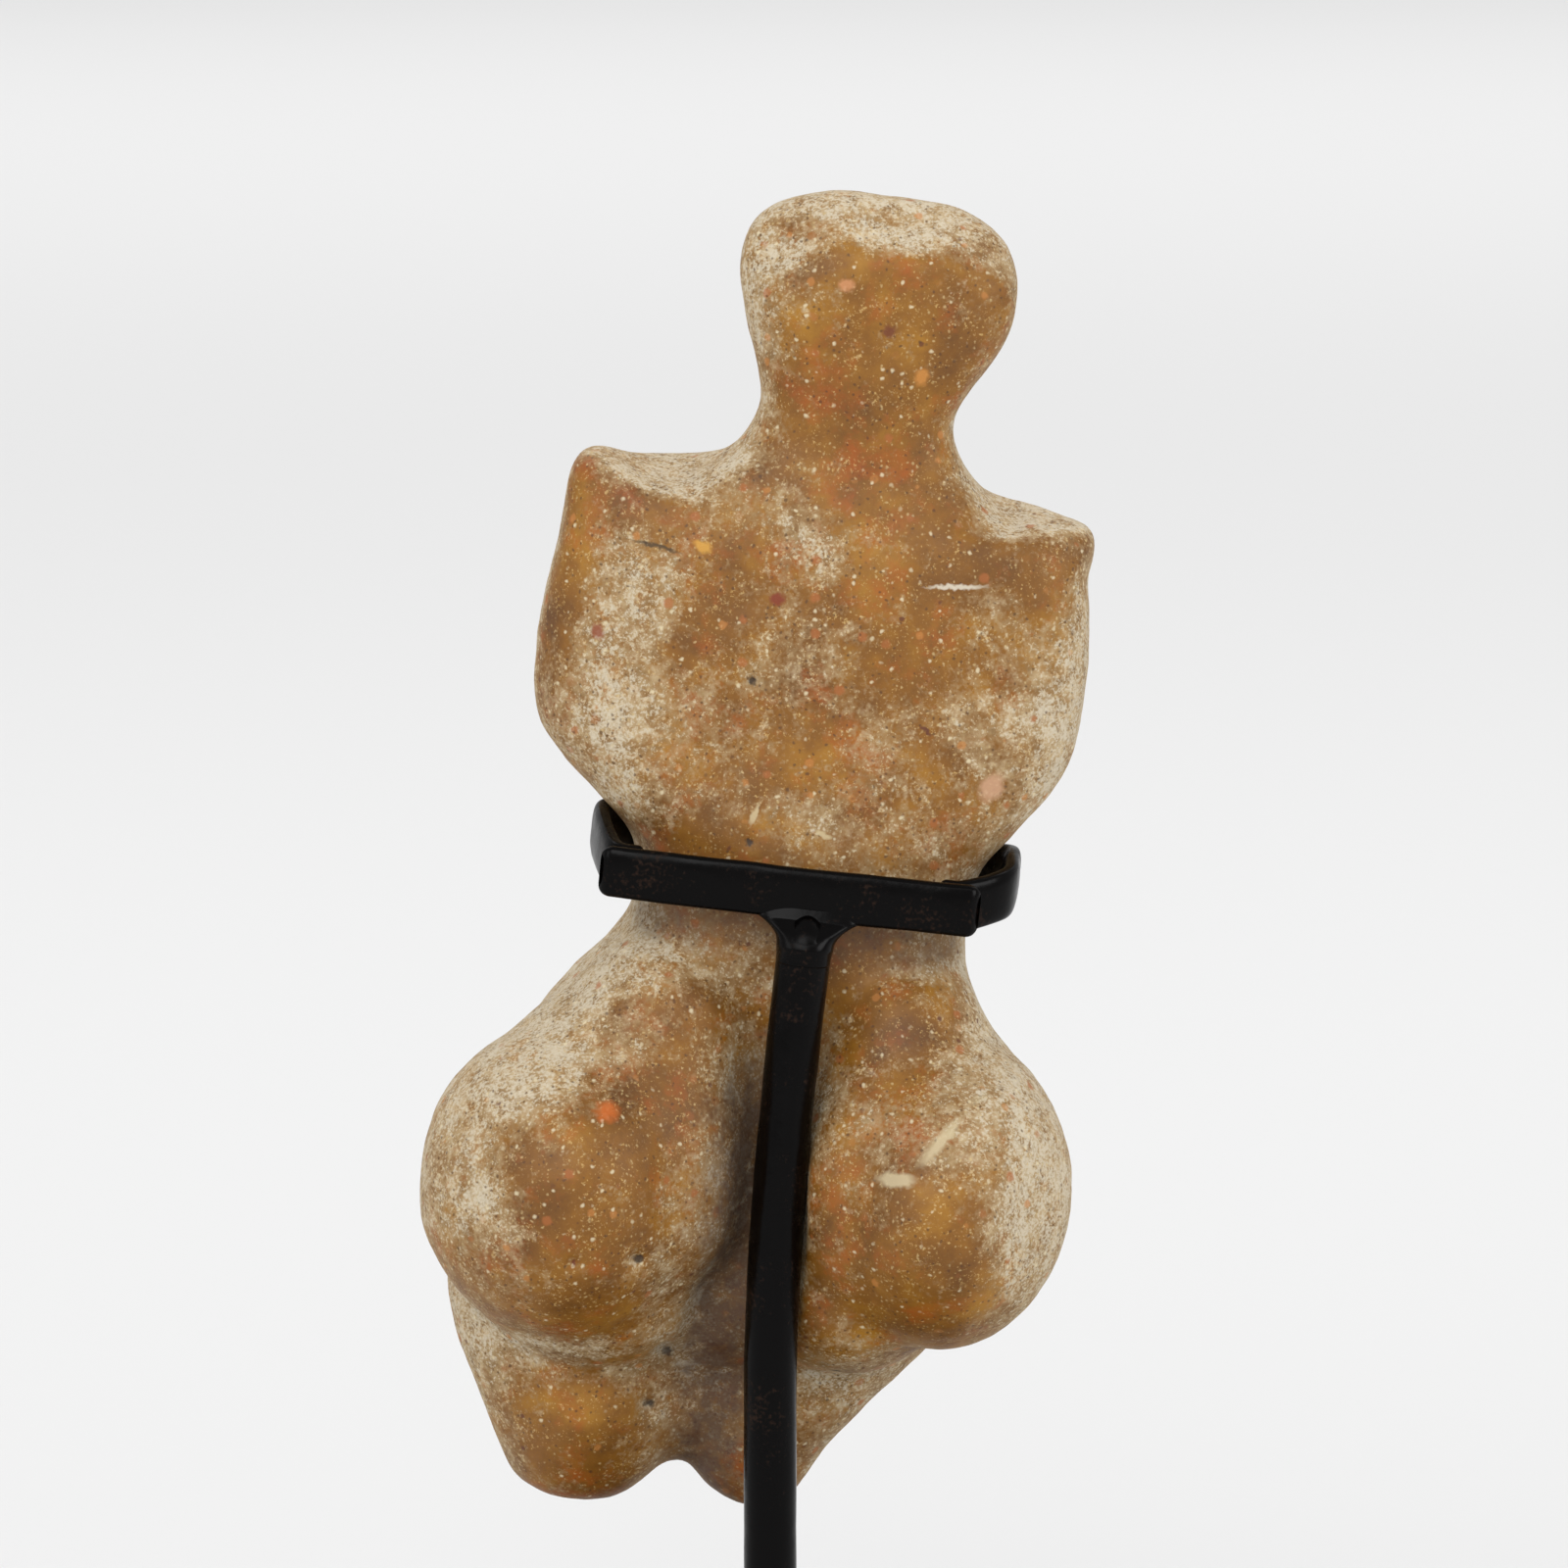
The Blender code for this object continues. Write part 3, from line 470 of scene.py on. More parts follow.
def limestone(placement):
    material, tree, shader = newMaterial('rubbed_shell_limestone')
    look = stoneLook
    place = (addNode(tree, 'TexCoord'), 'Object')
    polishAndPaintedLight = (addNode(tree, 'Attribute', attribute_name='polishAndPaintedLight'), 'Fac')
    paintedShade = (addNode(tree, 'Attribute', attribute_name='paintedShade'), 'Fac')
    cloud = {}
    for name, size, detail in (('blotch', 5, 4), ('drift', 3.8, 5), ('patch', 8, 7), ('haze', 2.1, 4),
                               ('mottle', 1.6, 3), ('crumb', 0.55, 2), ('pore', 0.4, 3), ('warp', 0.8, 1)):
        cloud[name] = addNode(tree, 'TexNoise', {'Vector': place, 'Scale': 1 / (size * mm), 'Detail': detail,
                                                 'Roughness': 0.6})

    # worn stone passes into crust through broken patches
    # the polish attribute carries real wear and, on faces turned up or to the side, painted top light and
    # edge sheen
    edge = polishAndPaintedLight
    for name, share in (('blotch', 1.4), ('mottle', 1.3), ('crumb', 1.3)):
        edge = addNode(tree, 'Math', {0: cloud[name], 1: share, 2: edge}, operation='MULTIPLY_ADD')
    worn = addNode(tree, 'MapRange', {'Value': edge, 'From Min': 2.06, 'From Max': 2.82})
    ochre = addNode(tree, 'ValToRGB', {0: cloud['patch']}, look['ochre'])
    crust = addNode(tree, 'ValToRGB', {0: cloud['haze']}, look['crust'])
    stain = addNode(tree, 'TexNoise', {'Vector': place, 'Scale': 1 / (7 * mm), 'Detail': 8, 'Roughness': 0.7})
    stain = addNode(tree, 'MapRange', {'Value': stain, 'From Min': 0.52, 'From Max': 0.68, 'To Max': 0.6})
    ochre = addNode(tree, 'Mix', {0: stain, 6: ochre, 7: look['stain']}, data_type='RGBA')
    colour = addNode(tree, 'Mix', {0: worn, 6: crust, 7: (ochre, 2)}, data_type='RGBA')
    # chalk lies thickest where little is rubbed off, and in drifts
    bare = addNode(tree, 'MapRange', {'Value': polishAndPaintedLight, 'From Max': 0.35, 'To Min': 0.07, 'To Max': 0})
    gathered = addNode(tree, 'Math', {0: cloud['drift'], 1: 0.5}, operation='SUBTRACT')
    chalk = addNode(tree, 'Mix', {0: worn, 6: look['chalk'], 7: look['wornChalk']}, data_type='RGBA')
    for size, onCrust, onWorn, strength in look['chalkDust']:
        dust = addNode(tree, 'TexNoise', {'Vector': place, 'Scale': 1 / (size * mm), 'Detail': 3,
                                          'Roughness': 0.65})
        limit = addNode(tree, 'MapRange', {'Value': worn, 'To Min': onCrust, 'To Max': onWorn})
        over = addNode(tree, 'Math', {0: dust, 1: limit}, operation='SUBTRACT')
        over = addNode(tree, 'Math', {0: gathered, 1: 0.3, 2: over}, operation='MULTIPLY_ADD')
        over = addNode(tree, 'Math', {0: over, 1: bare})
        cover = addNode(tree, 'MapRange', {'Value': over, 'From Max': 0.09, 'To Max': strength})
        colour = addNode(tree, 'Mix', {0: cover, 6: (colour, 2), 7: (chalk, 2)}, data_type='RGBA')

    # shell grains: each cell of a pattern shows one or none
    bent = addNode(tree, 'VectorMath', {0: (cloud['warp'], 1), 1: (0.5 * mm,) * 3, 2: place},
                   operation='MULTIPLY_ADD')
    for spacing, inner, outer, left, tint, strength in look['grains']:
        cells = addNode(tree, 'TexVoronoi', {'Vector': bent, 'Scale': 1 / (spacing * mm)})
        near = addNode(tree, 'MapRange', {'Value': cells, 'From Min': outer, 'From Max': inner})
        pick = addNode(tree, 'SeparateColor', {0: (cells, 'Color')})
        chosen = addNode(tree, 'MapRange', {'Value': pick, 'From Min': left, 'From Max': left + 0.08,
                                            'To Max': strength})
        grain = addNode(tree, 'Math', {0: near, 1: chosen}, operation='MULTIPLY')
        colour = addNode(tree, 'Mix', {0: grain, 6: (colour, 2), 7: tint}, data_type='RGBA')

    # painted shade: hollows, the cleft and the line under the bar darkened towards a dark brown
    paintedShadeTone = addNode(tree, 'Math', {0: cloud['haze'], 1: paintedShade}, operation='MULTIPLY')
    paintedShadeTone = addNode(tree, 'MapRange', {'Value': paintedShadeTone, 'From Min': 0.08, 'From Max': 0.52, 'To Max': 0.85})
    colour = addNode(tree, 'Mix', {0: paintedShadeTone, 6: (colour, 2), 7: look['paintedShadeTone']}, data_type='RGBA')

    # single shells, chips and holes, each an oval near one place on the back; the dark colours of the holes
    # are painted shade inside them
    local = addNode(tree, 'Mapping', {'Vector': place, 'Location': placement.translation,
                                      'Rotation': placement.to_euler()}, vector_type='TEXTURE')
    ragged = addNode(tree, 'VectorMath', {0: (cloud['warp'], 1), 1: (0.9 * mm,) * 3, 2: local},
                     operation='MULTIPLY_ADD')
    height = addNode(tree, 'Math', {0: cloud['pore'], 1: 0.5, 2: cloud['mottle']}, operation='MULTIPLY_ADD')
    height = addNode(tree, 'Math', {0: grain, 1: 0.25, 2: height}, operation='MULTIPLY_ADD')
    for across, depth, up, wide, tall, tilt, tint, hollow in look['shells']:
        oval = addNode(tree, 'Mapping', {'Vector': ragged, 'Rotation': (0, math.radians(tilt), 0),
                                         'Location': Vector((across + 0.45, depth + 0.45, up + 0.45)) * mm,
                                         'Scale': Vector((wide, 7, tall)) * mm}, vector_type='TEXTURE')
        away = addNode(tree, 'VectorMath', {0: oval}, operation='LENGTH')
        inside = addNode(tree, 'MapRange', {'Value': (away, 'Value'), 'From Min': 1.2, 'From Max': 0.6,
                                            'To Max': 0.85})
        colour = addNode(tree, 'Mix', {0: inside, 6: (colour, 2), 7: tint}, data_type='RGBA')
        if hollow:
            height = addNode(tree, 'Math', {0: inside, 1: -1.6, 2: height}, operation='MULTIPLY_ADD')

    rough = addNode(tree, 'MapRange', {'Value': worn, 'To Min': look['crustRoughness'],
                                       'To Max': look['rubbedRoughness']})
    rough = addNode(tree, 'Math', {0: cloud['crumb'], 1: 0.16, 2: rough}, operation='MULTIPLY_ADD')
    # open grain in the crust, closed where it is rubbed
    depth = addNode(tree, 'MapRange', {'Value': worn, 'To Min': 0.42, 'To Max': 0.2})
    bump = addNode(tree, 'Bump', {'Height': height, 'Strength': depth, 'Distance': 0.22 * mm})
    setInputs(tree, shader, {'Base Color': (colour, 2), 'Roughness': rough, 'IOR': 1.5, 'Normal': bump})
    return material


def makeFigure():
    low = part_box('figure')[0]
    corner = Vector(low) + Vector(figureForm['fromCorner'])
    placement = Matrix.Translation(corner) @ Matrix.Rotation(math.radians(figureForm['leanDegrees']), 4, 'Y')
    stone = carveFigure()
    addRelief(stone)
    addWearAndShade(stone)
    stone.normals()
    stone.mesh.transform(placement)
    finishMesh('carved_figure', stone.mesh, limestone(placement), 'carrier', ['figure'])
    print('figure: carved and painted')
    return placement


placement = makeFigure()

# Steel strip and rod of the mount, in mm in the figure's leaning frame: across, depth, height
mountForm = {
    'waistHalf': (20.5, 14.5),
    'waistRoundness': 2.6,
    'stripHalf': (1.0, 3.1),
    'stripSquareness': 3.2,
    'barEnds': (-24.7, 21.0),
    'barDepth': -17.1,
    'barBow': 0.8,
    'lapDepth': -14.8,
    'lapLength': 5.0,
    'armOut': (25.3, 24.8),
    'armRise': 2.8,
    'gripAngles': (28, 44, 60),
    'gripStandoff': 2.6,
    'unevenness': 0.1,
    # depth past the lap of an arm's two corners, then its depth beside the waist
    'armCorners': (4.06, 10.44, 1.16),
    'rodTop': (0.7, -18.55, -4.4),
    # points of the rod's head, tucked under the bar: back from the rod's line, height
    'rodHead': ((1.0, -2.6), (0.85, -2.9), (0.6, -3.4), (0.25, -3.9)),
    'rodHeadLength': 3.1,
    'rodRadius': (3.28, 3.05),
    'rodTaper': 150.0,
    'rodBend': 55.0,
    'flareHalfWidth': 6.1,
    'flareHeights': (-8.2, -3.0, -2.7, -1.6),
}

# Brushed black enamel on steel: wet-looking, with brush ripples, small runs and a few rubbed brown spots
enamelLook = {
    'black': '#030202',
    'rubbed': '#38261c',
    'ripple': 1.5,
    'speck': 0.5,
    'shine': 0.22,
}


def blackEnamel():
    material, tree, shader = newMaterial('brushed_black_enamel')
    place = (addNode(tree, 'TexCoord'), 'Object')
    look = enamelLook
    ripple = addNode(tree, 'TexNoise', {'Vector': place, 'Scale': 1 / (look['ripple'] * mm), 'Detail': 2})
    speck = addNode(tree, 'TexNoise', {'Vector': place, 'Scale': 1 / (look['speck'] * mm), 'Detail': 4})
    wide = addNode(tree, 'TexNoise', {'Vector': place, 'Scale': 1 / (6 * mm), 'Detail': 3})
    rubbed = addNode(tree, 'Math', {0: speck, 1: wide}, operation='MULTIPLY')
    rubbed = addNode(tree, 'MapRange', {'Value': rubbed, 'From Min': 0.33, 'From Max': 0.46, 'To Max': 0.5})
    colour = addNode(tree, 'Mix', {0: rubbed, 6: look['black'], 7: look['rubbed']}, data_type='RGBA')
    rough = addNode(tree, 'MapRange', {'Value': wide, 'From Min': 0.3, 'From Max': 0.7, 'To Min': 0.16,
                                       'To Max': 0.34})
    rough = addNode(tree, 'Math', {0: rubbed, 1: 0.3, 2: rough}, operation='MULTIPLY_ADD')
    height = addNode(tree, 'Math', {0: speck, 1: 0.12, 2: ripple}, operation='MULTIPLY_ADD')
    bump = addNode(tree, 'Bump', {'Height': height, 'Strength': 0.35, 'Distance': 0.12 * mm})
    setInputs(tree, shader, {'Base Color': (colour, 2), 'Roughness': rough, 'Normal': bump, 'IOR': 1.3,
                             'Specular IOR Level': look['shine']})
    return material


def waistPoint(degrees, standoff):
    angle = math.radians(degrees)
    wide, deep = mountForm['waistHalf']
    share = 2 / mountForm['waistRoundness']
    away = Vector((signedPower(math.cos(angle), 2 - share) / wide,
                   signedPower(math.sin(angle), 2 - share) / deep))
    return Vector((wide * signedPower(math.cos(angle), share),
                   deep * signedPower(math.sin(angle), share))) + away.normalized() * standoff


# Sweeps an upright flat strip along a plan path in mm, its ends drawn in to round them
def makeStrip(name, path, half, squareness, material, replaced, endRound, rough, rise=0.0):
    bm = bmesh.new()
    steps, turns = len(path), 36
    along = [0.0]
    for first, second in zip(path, path[1:]):
        along.append(along[-1] + (Vector(second) - Vector(first)).length)

    def ringAt(step, turn):
        ahead = Vector(path[min(step + 1, steps - 1)]) - Vector(path[max(step - 1, 0)])
        outward = Vector((ahead.y, -ahead.x)).normalized()
        inset = max(endRound - along[step], endRound - (along[-1] - along[step]), 0) / endRound
        draw = math.sqrt(max(1 - inset ** 2, 0.0))
        angle = 2 * math.pi * turn / turns
        thick = (half[0] - endRound * (1 - draw)) * signedPower(math.cos(angle), 2 / squareness)
        tall = (half[1] - endRound * (1 - draw)) * signedPower(math.sin(angle), 2 / squareness)
        share = along[step] / along[-1]
        lift = rise * math.sin(math.pi * min(max((share - 0.05) / 0.8, 0), 1)) ** 1.3
        point = Vector((*(Vector(path[step]) + outward * thick), tall + lift))
        ripple = noise.noise_vector(point / 9) * 1.6 + noise.noise_vector(point / 3.4) * 0.6
        return placement @ ((point + ripple * rough) * mm)

    sweepRings(bm, steps, turns, ringAt)
    bmesh.ops.recalc_face_normals(bm, faces=bm.faces)
    finishPiece(name, bm, material, 'carrier', replaced)


# Path points spaced finely at both ends so that the rounding has rings to use
def finePath(points, count=72):
    path = smoothRows([tuple(point) for point in points], count)
    gaps = np.linalg.norm(np.diff(path, axis=0), axis=1)
    run = np.concatenate([[0], np.cumsum(gaps)])
    ends = np.array([0, 0.04, 0.12, 0.25, 0.42, 0.62, 0.85])
    wanted = np.concatenate([ends, np.linspace(1.3, run[-1] - 1.3, count), run[-1] - ends[::-1]])
    return np.stack([np.interp(wanted, run, path[:, axis]) for axis in (0, 1)], axis=1)


def makeCollar(enamel):
    form = mountForm
    left, right = form['barEnds']
    bar = [(left + (right - left) * share, form['barDepth'] - form['barBow'] * math.sin(math.pi * share))
           for share in np.linspace(0, 1, 9)]
    makeStrip('back_strap', finePath(bar), form['stripHalf'], form['stripSquareness'], enamel,
              ['back_bar'], 1.5, form['unevenness'])
    lap, beside = form['lapDepth'], form['waistHalf'][0] + form['gripStandoff']
    first, second, waist = form['armCorners']
    for name, side, end, out in (('left_hook', -1, left, form['armOut'][0]),
                                 ('right_hook', 1, right, form['armOut'][1])):
        points = [(end - side * form['lapLength'], lap), (end - side * form['lapLength'] * 0.4, lap),
                  (side * (out + beside) / 2, lap + first), (side * out, lap + second),
                  (side * (beside + (out - beside) * 0.8), waist)]
        for degrees in form['gripAngles']:
            point = waistPoint(degrees, form['gripStandoff'])
            points.append((side * point.x, point.y))
        makeStrip(name, finePath(points, 96), form['stripHalf'], form['stripSquareness'], enamel,
                  [name[:-4] + 'arm'], 0.8, form['unevenness'], form['armRise'])
    print('mount: collar bent')


# The rod leaves the leaning bar, eases out of the cleft and then runs straight down
def makeRod(enamel):
    form = mountForm
    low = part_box('stem')[0]
    start = placement @ (Vector(form['rodTop']) * mm)
    bend = form['rodBend'] * mm
    across, behind = form['rodTop'][:2]
    route = [placement @ (Vector((across, behind + back, height)) * mm)
             for back, height in form['rodHead']]
    for share in np.linspace(0, 1, 60):
        sway = (1 - share) ** 1.6
        route.append(Vector((start.x * sway, start.y * sway, start.z - bend * share)))
    for share in np.linspace(0, 1, 40)[1:]:
        route.append(Vector((0, 0, (start.z - bend) * (1 - share) + low[2] * share)))
    turns = 40

    def ringAt(step, turn):
        ahead = (route[min(step + 1, len(route) - 1)] - route[max(step - 1, 0)]).normalized()
        side = Vector((1, 0, 0))
        side = (side - ahead * side.dot(ahead)).normalized()
        depth = ahead.cross(side)
        middle = route[step]
        fall = (route[0].z - middle.z) / mm
        share = min(fall / form['rodTaper'], 1.0)
        radius = form['rodRadius'][0] * (1 - share) + form['rodRadius'][1] * share
        radius *= 0.3 + 0.7 * min(fall / form['rodHeadLength'] + 0.1, 1) ** 1.2
        angle = 2 * math.pi * turn / turns
        outward = side * math.cos(angle) + depth * math.sin(angle)
        uneven = noise.noise(middle / (9 * mm)) + 0.4 * noise.noise((middle + outward * 4 * mm) / (3 * mm))
        # smooth where it runs in the collar and at its head
        fade = min(max((middle.z / mm - 60) / 20, 0), 1) * min(fall / 14, 1)
        return middle + outward * (radius + 0.09 * uneven * fade) * mm

    bm = bmesh.new()
    sweepRings(bm, len(route), turns, ringAt)
    bmesh.ops.recalc_face_normals(bm, faces=bm.faces)
    finishPiece('bent_rod', bm, enamel, 'carrier', ['stem'])

    # filler metal drawn out from the rod's head to both sides under the bar
    lowest, shoulder, rim, highest = form['flareHeights']
    heights = np.concatenate([np.linspace(lowest, shoulder, 30), np.linspace(rim, highest, 6)])

    def flareAt(step, turn):
        height = heights[step]
        share = min(max((height + 6.3) / 3.2, 0), 1.0)
        sunk = min(max((height - shoulder) / 1.4, 0), 1.0)
        base = 3.25 + 0.2 * min((height - lowest) / 1.9, 1) ** 2
        wide = base + (form['flareHalfWidth'] - base) * share ** 2.3 - 0.9 * sunk
        deep = base - 2.1 * share ** 2.2 - 0.5 * sunk
        angle = 2 * math.pi * turn / 48
        middle = behind + (form['barDepth'] - form['barBow'] - behind) * share ** 1.2
        point = Vector((across + wide * signedPower(math.cos(angle), 0.9),
                        middle + deep * signedPower(math.sin(angle), 0.9), height))
        # below the bar it leans over to the rod's own line
        lower = placement @ (point * mm)
        seat = placement @ (Vector((across, behind, height)) * mm)
        for axis in (0, 1):
            onRod = np.interp(-seat.z, [-spot.z for spot in route], [spot[axis] for spot in route])
            lower[axis] += (onRod - seat[axis]) * (1 - share)
        return lower + noise.noise_vector(lower / (2.5 * mm)) * 0.06 * mm

    bm = bmesh.new()
    sweepRings(bm, len(heights), 48, flareAt)
    bmesh.ops.recalc_face_normals(bm, faces=bm.faces)
    finishPiece('brazed_flare', bm, enamel, 'carrier',
                ['braze_fillet_left', 'braze_fillet_right'])
    print('mount: rod and braze')


# Thin split suede glued inside the metal: matt, with a short nap that catches light at its edge
suedeLook = {'colour': '#24100c', 'nap': '#4a2a20', 'fibre': 0.35, 'thickness': 1.0, 'height': 5.0}


def makeLiners():
    material, tree, shader = newMaterial('split_suede')
    place = (addNode(tree, 'TexCoord'), 'Object')
    nap = addNode(tree, 'TexNoise', {'Vector': place, 'Scale': 1 / (suedeLook['fibre'] * mm), 'Detail': 5})
    cloudy = addNode(tree, 'TexNoise', {'Vector': place, 'Scale': 1 / (3 * mm), 'Detail': 2})
    shade = addNode(tree, 'Math', {0: nap, 1: cloudy}, operation='MULTIPLY')
    colour = addNode(tree, 'ValToRGB', {0: shade}, ((0.15, suedeLook['colour']), (0.45, suedeLook['nap'])))
    bump = addNode(tree, 'Bump', {'Height': nap, 'Strength': 0.6, 'Distance': 0.15 * mm})
    setInputs(tree, shader, {'Base Color': colour, 'Roughness': 0.95, 'Sheen Weight': 0.3, 'Normal': bump})
    half = (suedeLook['thickness'] / 2, suedeLook['height'] / 2)
    for name, first, last, node in (('back_liner', 240, 300, 'pad_back'),
                                    ('right_liner', 30, 58, 'pad_right'),
                                    ('left_liner', 122, 150, 'pad_left')):
        points = [waistPoint(degrees, 0.8) for degrees in np.linspace(first, last, 9)]
        makeStrip(name, finePath(points, 40), half, 3.4, material, [node], 0.35, 0.05)
    print('mount: liners glued')


enamel = blackEnamel()
makeCollar(enamel)
makeRod(enamel)
makeLiners()


# Turned about the z axis from a profile of radii and heights in mm; an open profile ends on the axis
def turned(profile, steps=72, closed=True):
    bm = bmesh.new()
    verts = [bm.verts.new((radius * mm, 0, height * mm)) for radius, height in profile]
    edges = [bm.edges.new(pair) for pair in zip(verts, verts[1:])]
    if closed:
        edges.append(bm.edges.new((verts[-1], verts[0])))
    bmesh.ops.spin(bm, geom=verts + edges, cent=(0, 0, 0), axis=(0, 0, 1), angle=2 * math.pi, steps=steps,
                   use_merge=True)
    bmesh.ops.remove_doubles(bm, verts=bm.verts, dist=0.002 * mm)
    bmesh.ops.recalc_face_normals(bm, faces=bm.faces)
    return bm


# Cuts other solids out of one, and gives back the mesh that is left
def cutAway(bm, cutters):
    blank = addObject('blank', meshFrom('blank', bm))
    tools = []
    for cutter in cutters:
        bmesh.ops.recalc_face_normals(cutter, faces=cutter.faces)
        tools.append(addObject('tool', meshFrom('tool', cutter)))
        step = blank.modifiers.new('cut', 'BOOLEAN')
        step.operation = 'DIFFERENCE'
        step.solver = 'EXACT'
        step.object = tools[-1]
    return applied(blank, tools)


# The move to a round node's own axis, and its radius, bottom and top in mm
def roundBox(node):
    low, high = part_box(node)
    toAxis = Matrix.Translation(((low[0] + high[0]) / 2, (low[1] + high[1]) / 2, 0))
    return toAxis, (high[0] - low[0]) / 2 / mm, low[2] / mm, high[2] / mm


# Hardware on the base, in mm; sizes not set here come from the nodes' own boxes
hardwareForm = {
    'bore': 3.35,
    'bossRadius': 6.15,
    'flangeThickness': 3.0,
    'chamfer': 0.4,
    'fillet': 1.4,
    'ringRound': 0.7,
    'screwCircle': 12.08,
    'screwAngles': (90, 210, 330),
    'headRadius': 3.0,
    'holeRadius': 1.7,
    'screwRadius': 1.45,
    'threadPitch': 1.1,
    'slot': (0.8, 1.0),
    'slotAngles': (137, 293, 89),
    'grubRadius': 1.45,
    'grubHoleRadius': 1.62,
    'grubHeight': 48.1,
    'hexAcross': 1.5,
}

# Turned and blackened steel: dark grey-brown, satin, with fine lathe lines and lighter worn edges
steelLook = {'dark': '#1c1b1b', 'light': '#47423d', 'latheLine': 0.18, 'roughness': (0.28, 0.46)}
# Machine-cut brass screws: yellow, gone brown in the slots and scratched across the heads
brassLook = {'bright': '#b8924e', 'tarnish': '#6b4a22', 'scratch': 0.12, 'roughness': (0.24, 0.45)}


def turnedMetal(name, dark, light, line, roughness):
    material, tree, shader = newMaterial(name)
    place = (addNode(tree, 'TexCoord'), 'Object')
    flat = addNode(tree, 'Mapping', {'Vector': place, 'Scale': (0.08, 0.08, 1)})
    lines = addNode(tree, 'TexNoise', {'Vector': flat, 'Scale': 1 / (line * mm), 'Detail': 3})
    stain = addNode(tree, 'TexNoise', {'Vector': place, 'Scale': 1 / (2.5 * mm), 'Detail': 5})
    mixed = addNode(tree, 'Math', {0: lines, 1: 0.35, 2: stain}, operation='MULTIPLY_ADD')
    colour = addNode(tree, 'ValToRGB', {0: mixed}, ((0.45, dark), (0.85, light)))
    rough = addNode(tree, 'MapRange', {'Value': stain, 'From Min': 0.35, 'From Max': 0.65,
                                       'To Min': roughness[0], 'To Max': roughness[1]})
    bump = addNode(tree, 'Bump', {'Height': mixed, 'Strength': 0.25, 'Distance': 0.03 * mm})
    setInputs(tree, shader, {'Base Color': colour, 'Metallic': 1.0, 'Roughness': rough, 'Normal': bump})
    return material


